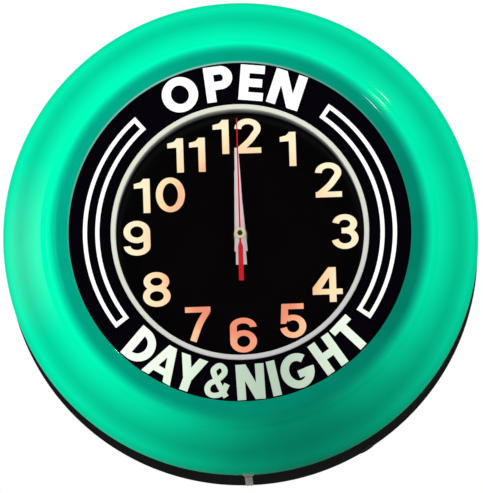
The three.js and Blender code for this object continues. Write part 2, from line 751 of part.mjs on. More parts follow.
function lampTray() {
  const inner = DIAL_RADIUS + DIAL_LAP + TRAY_INNER_GAP;
  const outer = COLLAR_RADIUS - PAN_WALL - TOUCH;
  const sheet = sleeve(inner, outer, TRAY_BACK, TRAY_FRONT);
  const holes = Object.values(TUBE_LEGS).map(({ x, z }) =>
    disc(TUBE_RADIUS + TRAY_HOLE_GAP, TRAY_BACK - 1, TRAY_FRONT + 1, x, z),
  );
  return cut(sheet, ...holes);
}

function trayBracket(degrees) {
  const wall = COLLAR_RADIUS - PAN_WALL - 4 * TOUCH;
  const top = TRAY_BACK - TOUCH;
  const leg = block(
    wall - BRACKET_WALL / 2, 0, BRACKET_WALL, BRACKET_WIDTH, top - BRACKET_LEG, top,
  );
  const foot = block(
    wall - BRACKET_FOOT / 2, 0, BRACKET_FOOT, BRACKET_WIDTH, top - BRACKET_WALL, top,
  );
  return aroundClock(join(leg, foot), degrees);
}

// A forked saddle that stands on the tray and holds the tube from behind.
function tubeSupport(degrees) {
  const back = TRAY_FRONT + TOUCH;
  const body = block(TUBE_RING, 0, 2 * TUBE_RADIUS + 5, SUPPORT_WIDTH, back, TUBE_AT);
  const seat = bar(
    new THREE.Vector3(TUBE_RING, -TUBE_AT, -SUPPORT_WIDTH),
    new THREE.Vector3(TUBE_RING, -TUBE_AT, SUPPORT_WIDTH),
    TUBE_RADIUS + 2 * TOUCH,
    16,
  );
  return aroundClock(cut(body, seat), degrees);
}

function electrodeBoot(leg) {
  const outer = TUBE_RADIUS + BOOT_WALL;
  const bore = TUBE_RADIUS + 2 * TOUCH;
  const outline = [
    [0, BOOT_BACK],
    [outer * 0.6, BOOT_BACK],
    [outer, BOOT_BACK + 6],
    [outer, BOOT_FRONT],
    [bore, BOOT_FRONT],
    [bore, TUBE_END - TOUCH],
    [0, TUBE_END - TOUCH],
  ];
  return turned(outline, HUB_FACETS).translate(leg.x, 0, leg.z);
}

// ---------------------------------------------------------------- transformer and wiring
const TRANSFORMER_BACK = PAN_WALL + TOUCH;
const TRANSFORMER_FRONT = TRANSFORMER_BACK + TRANSFORMER.deep;
const TRANSFORMER_LOW = TRANSFORMER.z - TRANSFORMER.tall / 2;
const TERMINAL_AT = (TRANSFORMER_BACK + TRANSFORMER_FRONT) / 2;
const TERMINAL_X = {
  left: TRANSFORMER.x - TERMINAL_SPREAD / 2,
  right: TRANSFORMER.x + TERMINAL_SPREAD / 2,
};

function transformerCase() {
  const { x, z, width, tall, corner } = TRANSFORMER;
  return plate(
    roundedRectangle(x, z, width, tall, corner),
    TRANSFORMER_BACK,
    TRANSFORMER_FRONT,
    3,
  );
}

// A porcelain stud that stands down from the transformer, with a shoulder half way.
function terminal(side) {
  const root = TRANSFORMER_LOW - TOUCH;
  const at = (down) => new THREE.Vector3(TERMINAL_X[side], -TERMINAL_AT, root - down);
  return join(
    bar(at(0), at(TERMINAL_LENGTH * 0.6), TERMINAL_RADIUS),
    bar(at(TERMINAL_LENGTH * 0.5), at(TERMINAL_LENGTH), TERMINAL_RADIUS * 0.6),
  );
}

function hvWire(side) {
  const leg = TUBE_LEGS[side];
  const fromZ = TRANSFORMER_LOW - TOUCH - TERMINAL_LENGTH - TOUCH;
  const start = new THREE.Vector3(TERMINAL_X[side], -TERMINAL_AT, fromZ);
  const end = new THREE.Vector3(leg.x, -(BOOT_BACK - TOUCH), leg.z);
  return swept(
    new THREE.CubicBezierCurve3(
      start,
      new THREE.Vector3(start.x, start.y, start.z - 16),
      new THREE.Vector3(end.x, start.y + 6, end.z),
      end,
    ),
    HV_WIRE_RADIUS,
    8,
    10,
  );
}

const BLOCK_BACK = PAN_WALL + TOUCH;
const BLOCK_FRONT = BLOCK_BACK + BLOCK.deep;

function terminalBlock() {
  const { x, z, width, tall } = BLOCK;
  const body = block(x, z, width, tall, BLOCK_BACK, BLOCK_FRONT);
  const wells = [-1, 0, 1].map((i) =>
    disc(3.5, BLOCK_FRONT - 5, BLOCK_FRONT + 1, x + (i * width) / 3.4, z, ROD_FACETS),
  );
  return cut(body, ...wells);
}

// Runs from the terminal block's right end to the transformer's left side.
function lampLead() {
  const start = new THREE.Vector3(BLOCK.x + BLOCK.width / 2 + TOUCH, -BLOCK_FRONT / 2, BLOCK.z);
  const end = start.clone().setX(TRANSFORMER.x - TRANSFORMER.width / 2 - TOUCH);
  return bar(start, end, LEAD_RADIUS, 8);
}

// ---------------------------------------------------------------- movement
const PLATE = {
  left: -28,
  right: MOTOR_SPACING + 20,
  low: -(MOTION_SPACING + MINUTE_TIP + PLATE_MARGIN),
  high: GOING_SPACING + THIRD_TIP + PLATE_MARGIN,
  corner: 6,
};
const PILLAR_INSET = 6;
const MINUTE_ARBOR = new THREE.Vector3(0, 0, -MOTION_SPACING);
const THIRD_ARBOR = new THREE.Vector3(0, 0, GOING_SPACING);
const MOTOR_SHAFT = new THREE.Vector3(MOTOR_SPACING, 0, 0);

function pillarPlaces() {
  const [left, right] = [PLATE.left + PILLAR_INSET, PLATE.right - PILLAR_INSET];
  const [low, high] = [PLATE.low + PILLAR_INSET, PLATE.high - PILLAR_INSET];
  return [[left, high], [right, high], [left, low]];
}

function movementPlate(back, front, extraHole) {
  const shape = roundedRectangle(
    (PLATE.left + PLATE.right) / 2,
    (PLATE.low + PLATE.high) / 2,
    PLATE.right - PLATE.left,
    PLATE.high - PLATE.low,
    PLATE.corner,
  );
  const hole = (place, radius) => disc(radius + RUN, back - 1, front + 1, place.x, place.z, 12);
  return cut(
    plate(shape, back, front, 3),
    hole(MINUTE_ARBOR, ARBOR_RADIUS),
    hole(THIRD_ARBOR, THIRD_ARBOR_RADIUS),
    hole(MOTOR_SHAFT, ARBOR_RADIUS),
    extraHole,
  );
}

// The front plate carries the threaded bush that passes through the dial.
function movementFrontPlate() {
  const bore = disc(BUSH_BORE, FRONT_PLATE_BACK - 1, DIAL_FRONT + 9);
  const bushEnd = DIAL_FRONT + NUT_THICKNESS + 2;
  const bush = sleeve(BUSH_BORE, BUSH_RADIUS, FRONT_PLATE_BACK, bushEnd);
  return join(movementPlate(FRONT_PLATE_BACK, FRONT_PLATE_FRONT, bore), bush);
}

function movementBackPlate() {
  const hole = disc(
    SECOND_ARBOR_RADIUS + RUN, BACK_PLATE_BACK - 1, BACK_PLATE_FRONT + 1, 0, 0, 12,
  );
  return movementPlate(BACK_PLATE_BACK, BACK_PLATE_FRONT, hole);
}

function movementPillar([x, z]) {
  const [back, front] = [BACK_PLATE_FRONT + TOUCH, FRONT_PLATE_BACK - TOUCH];
  return disc(PILLAR_RADIUS, back, front, x, z, ROD_FACETS);
}

function dialNut() {
  const back = DIAL_FRONT + TOUCH;
  const hexagon = disc(BUSH_RADIUS + NUT_WALL, back, back + NUT_THICKNESS, 0, 0, 6);
  return cut(hexagon, disc(BUSH_RADIUS + RUN, back - 1, back + NUT_THICKNESS + 1));
}

// The centre arbor is a pipe that carries the minute hand, the cannon pinion and the centre wheel.
function centreArbor() {
  const [, wheelFront] = centredAt(CENTRE_WHEEL_AT, WHEEL_THICKNESS);
  const [pinionBack, pinionFront] = centredAt(CENTRE_WHEEL_AT, PINION_THICKNESS);
  const [cannonBack, cannonFront] = centredAt(MINUTE_WHEEL_AT, PINION_THICKNESS);
  const end = MINUTE_HAND_BACK + HAND_THICKNESS + TOUCH;
  const pipe = disc(CANNON_RADIUS, pinionBack, end);
  const collar = disc(CANNON_RADIUS + 1.5, pinionFront - 0.5, cannonBack + 0.5);
  const wheel = gear(
    TEETH.centre, GOING_SPACING, TEETH.thirdPinion,
    wheelFront - WHEEL_THICKNESS, wheelFront, toothTowards(TEETH.centre, UP),
  );
  const cannon = gear(
    TEETH.cannon, MOTION_SPACING, TEETH.minute,
    cannonBack, cannonFront, toothTowards(TEETH.cannon, DOWN),
  );
  return cut(join(pipe, collar, wheel, cannon), disc(CANNON_BORE, pinionBack - 1, end + 1));
}

function hourWheel() {
  const [back, front] = centredAt(HOUR_WHEEL_AT, WHEEL_THICKNESS);
  const end = HOUR_HAND_BACK + HAND_THICKNESS + TOUCH;
  const wheel = gear(
    TEETH.hour, MOTION_SPACING, TEETH.minutePinion,
    back, front, toothTowards(TEETH.hour, DOWN),
  );
  const pipe = disc(HOUR_TUBE_RADIUS, back, end);
  return cut(join(wheel, pipe), disc(HOUR_TUBE_BORE, back - 1, end + 1));
}

// The minute wheel's arbor runs right back to the setting knob.
const KNOB_BACK = KNOB_RECESS;
const KNOB_FRONT = KNOB_BACK + KNOB_LENGTH;

function minuteWheel() {
  const [wheelBack, wheelFront] = centredAt(MINUTE_WHEEL_AT, WHEEL_THICKNESS);
  const [pinionBack, pinionFront] = centredAt(HOUR_WHEEL_AT, PINION_THICKNESS);
  const wheel = gear(
    TEETH.minute, MOTION_SPACING, TEETH.cannon,
    wheelBack, wheelFront, spaceTowards(TEETH.minute, UP),
  );
  const pinion = gear(
    TEETH.minutePinion, MOTION_SPACING, TEETH.hour,
    pinionBack, pinionFront, spaceTowards(TEETH.minutePinion, UP),
  );
  const arbor = disc(ARBOR_RADIUS, KNOB_FRONT - 5, FRONT_PLATE_FRONT - TOUCH, 0, 0, ROD_FACETS);
  const collar = disc(3, wheelBack - 1, pinionBack + 0.5, 0, 0, ROD_FACETS);
  return join(arbor, collar, wheel, pinion).translate(MINUTE_ARBOR.x, 0, MINUTE_ARBOR.z);
}

// A fluted knob with a blind bore for the minute wheel's arbor.
function setKnob() {
  const flutes = 10;
  const points = [];
  for (let i = 0; i < 2 * flutes; i += 1) {
    const radius = i % 2 ? KNOB_RADIUS : KNOB_RADIUS - 1;
    const angle = (i * Math.PI) / flutes;
    points.push([radius * Math.cos(angle), radius * Math.sin(angle)]);
  }
  const body = plate(polygon(points), KNOB_BACK, KNOB_FRONT);
  const bore = disc(
    ARBOR_RADIUS + TOUCH, KNOB_FRONT - 5 - TOUCH, KNOB_FRONT + 1, 0, 0, ROD_FACETS,
  );
  return cut(body, bore).translate(MINUTE_ARBOR.x, 0, MINUTE_ARBOR.z);
}

function thirdWheel() {
  const [wheelBack, wheelFront] = centredAt(THIRD_WHEEL_AT, WHEEL_THICKNESS);
  const [pinionBack, pinionFront] = centredAt(CENTRE_WHEEL_AT, PINION_THICKNESS);
  const wheel = gear(
    TEETH.third, GOING_SPACING, TEETH.secondPinion,
    wheelBack, wheelFront, toothTowards(TEETH.third, DOWN),
  );
  const pinion = gear(
    TEETH.thirdPinion, GOING_SPACING, TEETH.centre,
    pinionBack, pinionFront, spaceTowards(TEETH.thirdPinion, DOWN),
  );
  const arbor = disc(
    THIRD_ARBOR_RADIUS, BACK_PLATE_BACK + 0.5, FRONT_PLATE_FRONT - TOUCH, 0, 0, ROD_FACETS,
  );
  return join(arbor, wheel, pinion).translate(THIRD_ARBOR.x, 0, THIRD_ARBOR.z);
}

// The second arbor runs through the centre pipe to the second hand.
function secondArbor() {
  const [pinionBack, pinionFront] = centredAt(THIRD_WHEEL_AT, PINION_THICKNESS);
  const [wheelBack, wheelFront] = centredAt(MOTOR_WHEEL_AT, WHEEL_THICKNESS);
  const end = SECOND_HAND_BACK + HAND_THICKNESS + TOUCH;
  const pinion = gear(
    TEETH.secondPinion, GOING_SPACING, TEETH.third,
    pinionBack, pinionFront, spaceTowards(TEETH.secondPinion, UP),
  );
  const wheel = gear(
    TEETH.motor, MOTOR_SPACING, TEETH.motor,
    wheelBack, wheelFront, toothTowards(TEETH.motor, RIGHT),
  );
  const arbor = disc(SECOND_ARBOR_RADIUS, BACK_PLATE_BACK + 0.5, end, 0, 0, ROD_FACETS);
  return join(arbor, pinion, wheel);
}

function motorWheel() {
  const [back, front] = centredAt(MOTOR_WHEEL_AT, WHEEL_THICKNESS);
  const wheel = gear(
    TEETH.motor, MOTOR_SPACING, TEETH.motor,
    back, front, spaceTowards(TEETH.motor, LEFT),
  );
  const shaftBack = BACK_PLATE_BACK - 8;
  const shaft = disc(ARBOR_RADIUS, shaftBack, FRONT_PLATE_FRONT - TOUCH, 0, 0, ROD_FACETS);
  return join(wheel, shaft).translate(MOTOR_SHAFT.x, 0, MOTOR_SHAFT.z);
}

// ---------------------------------------------------------------- motor
const MOTOR_FRONT = BACK_PLATE_BACK - TOUCH;
const MOTOR_BACK = MOTOR_FRONT - MOTOR_LENGTH;
const FIELD_BACK = MOTOR_BACK + 8;
const FIELD_FRONT = FIELD_BACK + FIELD_THICKNESS;
const FIELD = {
  width: 2 * (MOTOR_SPACING - ARBOR_RADIUS - PLATE_MARGIN), // it clears the setting arbor
  above: 18,
  below: 46,
  leg: 6.5,
  core: 10,
};
const COIL = { overhang: 6, deep: 6 };

function motorCase() {
  const can = disc(MOTOR_RADIUS, MOTOR_BACK, MOTOR_FRONT, MOTOR_SHAFT.x, 0, 24);
  const bore = disc(ARBOR_RADIUS + RUN, MOTOR_FRONT - 10, MOTOR_FRONT + 1, MOTOR_SHAFT.x, 0, 12);
  return cut(can, bore);
}

// A stack of iron sheets: it circles the motor can, and its lower bar is the coil's core.
function motorField() {
  const middleZ = (FIELD.above - FIELD.below) / 2;
  const body = block(
    MOTOR_SHAFT.x, middleZ, FIELD.width, FIELD.above + FIELD.below, FIELD_BACK, FIELD_FRONT,
  );
  const canHole = disc(MOTOR_RADIUS + TOUCH, FIELD_BACK - 1, FIELD_FRONT + 1, MOTOR_SHAFT.x, 0, 24);
  const windowLow = -FIELD.below + FIELD.core;
  const windowHigh = -MOTOR_RADIUS - 3;
  const window = block(
    MOTOR_SHAFT.x,
    (windowLow + windowHigh) / 2,
    FIELD.width - 2 * FIELD.leg,
    windowHigh - windowLow,
    FIELD_BACK - 1,
    FIELD_FRONT + 1,
  );
  return cut(body, canHole, window);
}

function motorCoil() {
  const coreZ = -FIELD.below + FIELD.core / 2;
  const width = FIELD.width - 2 * FIELD.leg - 2 * TOUCH;
  const body = block(
    MOTOR_SHAFT.x, coreZ, width, FIELD.core + 2 * COIL.overhang,
    FIELD_BACK - COIL.deep, FIELD_FRONT + COIL.deep,
  );
  const core = block(
    MOTOR_SHAFT.x, coreZ, FIELD.width, FIELD.core + 2 * TOUCH,
    FIELD_BACK - TOUCH, FIELD_FRONT + TOUCH,
  );
  return cut(body, core);
}

// Runs from the terminal block up to the coil.
function motorLead() {
  const start = new THREE.Vector3(BLOCK.x, -BLOCK_FRONT / 2, BLOCK.z + BLOCK.tall / 2 + TOUCH);
  const coilLeft = MOTOR_SHAFT.x - FIELD.width / 2 + FIELD.leg + TOUCH;
  const coilLow = -FIELD.below - COIL.overhang;
  const coilBack = FIELD_BACK - COIL.deep;
  const end = new THREE.Vector3(coilLeft + 6, -(coilBack + 5), coilLow - TOUCH);
  return swept(
    new THREE.CubicBezierCurve3(
      start,
      new THREE.Vector3(start.x, start.y, start.z + 36),
      new THREE.Vector3(end.x, end.y, end.z - 26),
      end,
    ),
    LEAD_RADIUS,
    8,
    14,
  );
}

// ---------------------------------------------------------------- hands
function taperedHand({ tip, tipWidth, tail, tailWidth, lean }, back, bore) {
  const outline = polygon([
    [-tailWidth / 2, -tail],
    [tailWidth / 2, -tail],
    [tipWidth / 2, tip],
    [-tipWidth / 2, tip],
  ]);
  const blade = plate(outline, back, back + HAND_THICKNESS);
  const boss = disc(bore + 1.6, back, back + HAND_THICKNESS);
  const hole = disc(bore, back - 1, back + HAND_THICKNESS + 1);
  return cut(join(blade, boss), hole).rotateY(radians(lean));
}

function secondHand() {
  const { tip, tipWidth, hubWidth, tail, tailWidth } = SECOND_HAND;
  const outline = polygon([
    [-tailWidth / 2, -tail],
    [tailWidth / 2, -tail],
    [tailWidth / 2, -SECOND_TAIL_FULL],
    [hubWidth / 2, -SECOND_TAIL_START],
    [tipWidth / 2, tip],
    [-tipWidth / 2, tip],
    [-hubWidth / 2, -SECOND_TAIL_START],
    [-tailWidth / 2, -SECOND_TAIL_FULL],
  ]);
  const front = SECOND_HAND_BACK + HAND_THICKNESS;
  const boss = disc(SECOND_BOSS, SECOND_HAND_BACK, front);
  const hole = disc(SECOND_ARBOR_RADIUS + RUN, SECOND_HAND_BACK - 1, front + 1);
  return cut(join(plate(outline, SECOND_HAND_BACK, front), boss), hole);
}

// The brass cap on the second hand, with a round socket in its face.
function hubCap() {
  const back = SECOND_HAND_BACK + HAND_THICKNESS + 2 * TOUCH;
  const front = back + HUB_RISE;
  return turned([
    [0, back],
    [HUB_RADIUS, back],
    [HUB_RADIUS, front - 0.8],
    [HUB_RADIUS - 0.8, front],
    [HUB_SOCKET, front],
    [HUB_SOCKET, back + HUB_RISE / 3],
    [0, back + HUB_RISE / 3],
  ], HUB_FACETS);
}

// ---------------------------------------------------------------- the clock
add("rear_pan", rearPan(), BLACK_ENAMEL);
add("service_cover", serviceCover(), BLACK_ENAMEL);
coverScrewPlaces().forEach((place, i) => add(`cover_screw_${i + 1}`, coverScrew(place), NICKEL));
add("hanger_plate", hangerPlate(), STEEL);
add("inlet_grommet", inletGrommet(), RUBBER);

add("bezel", bezel(), GREEN_PLASTIC);
for (const [name, angle] of Object.entries(RIM_SCREW_ANGLES)) {
  const screw = radialScrew(RIM_RADIUS + TOUCH, RIM_SCREW_AT, RIM_SCREW_LENGTH);
  add(name, aroundClock(screw, angle), NICKEL);
}
add("bottom_clip", bottomClip(), NICKEL);
add("clip_screw", aroundClock(radialScrew(CLIP_SEAT + TOUCH, CLIP_SCREW_AT, 7), DOWN), NICKEL);

add("lettering_panel", letteringPanel(), BLACK_ACRYLIC);
add("well_ring", wellRing(), CREAM_PLASTIC);
add("dial_plate", dialPlate(), DIAL_BLACK);
THIRDS.forEach((angle, i) => {
  const { x, z } = onRing(POST_RING, angle);
  const post = disc(POST_RADIUS, PAN_WALL + TOUCH, DIAL_BACK - TOUCH, x, z, ROD_FACETS);
  add(`dial_post_${i + 1}`, post, STEEL);
});

add("lamp_tray", lampTray(), WHITE_ENAMEL);
const [POST_BACK, POST_FRONT] = [TRAY_FRONT + TOUCH, PANEL_BACK - TOUCH];
THIRDS.forEach((angle, i) => {
  const { x, z } = onRing(PANEL_POST_RING, angle);
  add(`tray_bracket_${i + 1}`, trayBracket(angle), STEEL);
  add(`panel_post_${i + 1}`, disc(PANEL_POST_RADIUS, POST_BACK, POST_FRONT, x, z, ROD_FACETS), NICKEL);
});
add("neon_tube", swept(tubePath(), TUBE_RADIUS, 8, 76), TUBE_GLASS);
QUARTERS.forEach((angle, i) => {
  add(`tube_support_${i + 1}`, tubeSupport(angle), PORCELAIN);
});
for (const [side, leg] of Object.entries(TUBE_LEGS)) {
  add(`electrode_boot_${side}`, electrodeBoot(leg), RUBBER);
  add(`transformer_terminal_${side}`, terminal(side), PORCELAIN);
  add(`hv_wire_${side}`, hvWire(side), WIRE);
}
add("transformer_case", transformerCase(), BLACK_ENAMEL);
add("terminal_block", terminalBlock(), PHENOLIC);
add("lamp_lead", lampLead(), RUBBER);
add("motor_lead", motorLead(), RUBBER);

add("movement_front_plate", movementFrontPlate(), BRASS);
add("movement_back_plate", movementBackPlate(), BRASS);
pillarPlaces().forEach((place, i) => add(`movement_pillar_${i + 1}`, movementPillar(place), BRASS));
add("dial_nut", dialNut(), BRASS);
add("centre_arbor", centreArbor(), BRASS);
add("hour_wheel", hourWheel(), BRASS);
add("minute_wheel", minuteWheel(), BRASS);
add("set_knob", setKnob(), PHENOLIC);
add("third_wheel", thirdWheel(), BRASS);
add("second_arbor", secondArbor(), BRASS);
add("motor_wheel", motorWheel(), BRASS);
add("motor_case", motorCase(), NICKEL);
add("motor_field", motorField(), STEEL);
add("motor_coil", motorCoil(), COPPER_TAPE);

add("hour_hand", taperedHand(HOUR_HAND, HOUR_HAND_BACK, HOUR_TUBE_RADIUS + RUN), HAND_GREY);
add("minute_hand", taperedHand(MINUTE_HAND, MINUTE_HAND_BACK, CANNON_RADIUS + RUN), HAND_GREY);
add("second_hand", secondHand(), HAND_RED);
add("hub_cap", hubCap(), BRASS);

export default clock;
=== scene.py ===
"""Looks of the round wall advertising clock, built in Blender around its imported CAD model.

Metres. +X is right, +Z is up and +Y points into the wall, so the front faces -Y. A "depth" is a
distance in front of the wall, which is -Y. Outlines of turned pieces are lists of (radius, depth).
"""

import math

import bmesh
import bpy
from mathutils import Matrix, Vector
from mathutils.geometry import delaunay_2d_cdt

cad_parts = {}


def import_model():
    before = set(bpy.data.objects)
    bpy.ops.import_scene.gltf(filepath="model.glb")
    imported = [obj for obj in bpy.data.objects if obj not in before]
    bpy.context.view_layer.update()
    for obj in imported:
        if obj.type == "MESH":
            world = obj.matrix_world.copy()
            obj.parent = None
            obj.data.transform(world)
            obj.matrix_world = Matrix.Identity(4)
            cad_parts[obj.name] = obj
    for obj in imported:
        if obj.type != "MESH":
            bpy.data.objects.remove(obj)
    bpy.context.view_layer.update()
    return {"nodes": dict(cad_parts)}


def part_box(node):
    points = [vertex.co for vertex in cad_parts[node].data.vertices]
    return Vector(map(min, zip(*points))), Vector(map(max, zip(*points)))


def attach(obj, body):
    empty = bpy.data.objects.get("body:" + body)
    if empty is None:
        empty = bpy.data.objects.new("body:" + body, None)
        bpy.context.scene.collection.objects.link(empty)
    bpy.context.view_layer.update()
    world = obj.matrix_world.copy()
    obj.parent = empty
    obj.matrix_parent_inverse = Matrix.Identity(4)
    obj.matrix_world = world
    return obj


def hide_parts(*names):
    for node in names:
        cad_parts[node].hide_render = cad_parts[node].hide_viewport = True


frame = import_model()
nodes = frame["nodes"]

MM = 0.001

# ---------------------------------------------------------------- sizes taken from the frame


class Extent:
    """How far a turned CAD node reaches: its outer radius, and the depths of its back and front."""

    def __init__(self, node):
        low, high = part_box(node)
        self.radius = (high.x - low.x) / 2
        self.back = -high.y
        self.front = -low.y


def middle(node):
    low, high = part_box(node)
    return (low + high) / 2


RIM = Extent("bezel")
PAN = Extent("rear_pan")
COVER = Extent("service_cover")
PANEL = Extent("lettering_panel")
WELL = Extent("well_ring")
DIAL = Extent("dial_plate")
HUB = Extent("hub_cap")
KNOB = Extent("set_knob")

# ---------------------------------------------------------------- sizes of the looks

ROUND = 256  # segments of the large turned pieces
SMALL_ROUND = 48  # segments of the small ones

OPENING = RIM.radius - 71 * MM  # radius of the rim's opening
RIM_WALL = 3 * MM
PAN_WALL = 1.2 * MM
PAN_RADIUS = PAN.radius
DIAL_CLEAR = 132.6 * MM  # clear radius of the sunk dial

NUMERAL_HEIGHT = 37.5 * MM
NUMERAL_STEM = 7.3 * MM
NUMERAL_HAIR = 5.9 * MM  # thickness of the numerals' level strokes
NUMERAL_GAP = 6.3 * MM
NUMERAL_RISE = 0.3 * MM
NUMERAL_RING = 107 * MM
# How far the printed numerals stand from their hours on that ring, across and up, in millimetres.
NUMERAL_SHIFTS = {
    1: (0.3, -0.6), 2: (3.3, 3.5), 3: (4.8, 0.5), 4: (-1.3, -2.8), 5: (-0.2, -1), 6: (0, -0.7),
    7: (5.5, -1.2), 8: (1.5, -1.8), 9: (-3.5, 0.8), 10: (7.6, -7), 11: (-1.5, -3.6), 12: (-0.4, 0.5),
}

LETTER_FOOT = 142.8 * MM  # the lettering's radii
LETTER_HEAD = 181 * MM
LETTER_RISE = 0.35 * MM
STRIPE_RADII = (152.2 * MM, 165.4 * MM)
STRIPE_WIDTH = 4.4 * MM
STRIPES = {"stripe_left": (130.2, 216.2), "stripe_right": (-35.8, 53.8)}

# ---------------------------------------------------------------- outlines


def arc(centre, radii, start, end, steps):
    """Points along an arc, from one angle to another in degrees."""
    for i in range(steps + 1):
        turn = math.radians(start + (end - start) * i / steps)
        yield (centre[0] + radii[0] * math.cos(turn), centre[1] + radii[1] * math.sin(turn))


def rounded(points, steps=6):
    """A closed outline of (x, y, corner radius), with each corner turned into an arc."""
    outline = []
    for i, (x, y, radius) in enumerate(points):
        corner = Vector((x, y))
        if not radius:
            outline.append(tuple(corner))
            continue
        before = (Vector(points[i - 1][:2]) - corner).normalized()
        after = (Vector(points[(i + 1) % len(points)][:2]) - corner).normalized()
        half = before.angle(after) / 2
        reach = radius / math.tan(half)
        centre = corner + (before + after).normalized() * radius / math.sin(half)
        start = (corner + before * reach - centre).normalized()
        end = (corner + after * reach - centre).normalized()
        for step in range(steps + 1):
            outline.append(tuple(centre + start.slerp(end, step / steps) * radius))
    return outline


def scaled(points):
    """An outline written in millimetres, in metres."""
    return [tuple(value * MM for value in point) for point in points]


# ---------------------------------------------------------------- meshes


def mesh_object(name, vertices, faces, smooth_below=35):
    """A new object whose edges look sharp only where its faces turn by more than smooth_below degrees."""
    mesh = bpy.data.meshes.new(name)
    mesh.from_pydata(vertices, [], faces)
    fixing = bmesh.new()
    fixing.from_mesh(mesh)
    bmesh.ops.remove_doubles(fixing, verts=fixing.verts, dist=1e-7)
    bmesh.ops.recalc_face_normals(fixing, faces=fixing.faces)
    fixing.to_mesh(mesh)
    fixing.free()
    mesh.shade_smooth()
    mesh.set_sharp_from_angle(angle=math.radians(smooth_below))
    piece = bpy.data.objects.new(name, mesh)
    bpy.context.scene.collection.objects.link(piece)
    return piece


def turned(name, outline, segments=ROUND, smooth_below=35):
    """A closed outline of (radius, depth) turned round the clock's axis."""
    count = len(outline)
    vertices = []
    faces = []
    for segment in range(segments):
        turn = 2 * math.pi * segment / segments
        across = (segment + 1) % segments
        for i, (radius, depth) in enumerate(outline):
            vertices.append((radius * math.cos(turn), -depth, radius * math.sin(turn)))
            after = (i + 1) % count
            faces.append((
                segment * count + i,
                segment * count + after,
                across * count + after,
                across * count + i,
            ))
    faces = [face for face in faces if not on_axis(vertices, face)]
    return mesh_object(name, vertices, faces, smooth_below)


def on_axis(vertices, face):
    """Whether a turned face has shrunk to a line on the axis."""
    return all(abs(vertices[i][0]) < 1e-9 and abs(vertices[i][2]) < 1e-9 for i in face)


def fluted(name, outline, flutes, depth_of_flute, steps_per_flute=8):
    """A turned piece whose widest part is fluted like a knurled knob."""
    segments = flutes * steps_per_flute
    piece = turned(name, outline, segments)
    widest = max(radius for radius, _ in outline)
    for vertex in piece.data.vertices:
        radius = math.hypot(vertex.co.x, vertex.co.z)
        if radius > widest - 1e-6:
            turn = math.atan2(vertex.co.z, vertex.co.x)
            groove = (1 - math.cos(flutes * turn)) / 2
            share = 1 - depth_of_flute * groove / radius
            vertex.co.x *= share
            vertex.co.z *= share
    return piece


def place(piece, matrix):
    """Moves the piece's mesh, so that the object itself stays at the origin."""
    piece.data.transform(matrix)
    return piece


def settle(piece):
    """Replaces the piece's mesh with what its modifiers make of it."""
    bpy.context.view_layer.update()
    graph = bpy.context.evaluated_depsgraph_get()
    made = bpy.data.meshes.new_from_object(piece.evaluated_get(graph))
    piece.modifiers.clear()
    piece.data = made
    return piece


def carve(piece, *cutters):
    """Cuts the cutters out of the piece and throws them away."""
    for cutter in cutters:
        change = piece.modifiers.new("carve", "BOOLEAN")
        change.operation = "DIFFERENCE"
        change.solver = "EXACT"
        change.object = cutter
    settle(piece)
    piece.data.set_sharp_from_angle(angle=math.radians(35))
    for cutter in cutters:
        bpy.data.objects.remove(cutter)
    return piece


def rod(name, radius, back, front, x=0.0, z=0.0, segments=SMALL_ROUND):
    """A plain round bar along the depth, used as a cutter."""
    outline = [(0, back), (radius, back), (radius, front), (0, front)]
    return place(turned(name, outline, segments), Matrix.Translation((x, 0, z)))


def slab(name, low, high):
    """A plain block, used as a cutter."""
    corners = [(x, y, z) for x in (low[0], high[0]) for y in (low[1], high[1]) for z in (low[2], high[2])]
    faces = [(0, 1, 3, 2), (4, 6, 7, 5), (0, 4, 5, 1), (2, 3, 7, 6), (0, 2, 6, 4), (1, 5, 7, 3)]
    return mesh_object(name, corners, faces)


def spoke(degrees, radius, depth):
    """Turns something made round the clock's axis so that it stands out from the rim at an angle:
    what was its depth becomes a distance from the clock's middle."""
    outward = Matrix.Rotation(math.radians(-90), 4, "Z")
    swing = Matrix.Rotation(math.radians(-degrees), 4, "Y")
    return swing @ Matrix.Translation((radius, -depth, 0)) @ outward.inverted()


def bevel(piece, width, segments=2):
    change = piece.modifiers.new("edges", "BEVEL")
    change.width = width
    change.segments = segments
    change.limit_method = "ANGLE"
    change.angle_limit = math.radians(35)
    change.use_clamp_overlap = True
    change.harden_normals = False


def smoothing_group(degrees=35):
    """Geometry nodes that shade a mesh smooth, except where its faces turn sharply."""
    group = bpy.data.node_groups.new("smooth_shading", "GeometryNodeTree")
    group.interface.new_socket("Geometry", in_out="INPUT", socket_type="NodeSocketGeometry")
    group.interface.new_socket("Geometry", in_out="OUTPUT", socket_type="NodeSocketGeometry")
    start = group.nodes.new("NodeGroupInput")
    end = group.nodes.new("NodeGroupOutput")
    angle = group.nodes.new("GeometryNodeInputMeshEdgeAngle")
    compare = group.nodes.new("FunctionNodeCompare")
    compare.operation = "GREATER_THAN"
    compare.inputs[1].default_value = math.radians(degrees)
    soften = group.nodes.new("GeometryNodeSetShadeSmooth")
    soften.domain = "FACE"
    sharpen = group.nodes.new("GeometryNodeSetShadeSmooth")
    sharpen.domain = "EDGE"
    sharpen.inputs["Shade Smooth"].default_value = False
    group.links.new(start.outputs[0], soften.inputs[0])
    group.links.new(soften.outputs[0], sharpen.inputs[0])
    group.links.new(angle.outputs[0], compare.inputs[0])
    group.links.new(compare.outputs[0], sharpen.inputs["Selection"])
    group.links.new(sharpen.outputs[0], end.inputs[0])
    return group


SMOOTHING = smoothing_group()


def dress(node, material, edge=0.0):
    """Gives a CAD node its material, softened edges and smooth shading."""
    carried = nodes[node]
    carried.data.materials.clear()
    carried.data.materials.append(material)
    if edge:
        bevel(carried, edge)
    carried.modifiers.new("shading", "NODES").node_group = SMOOTHING


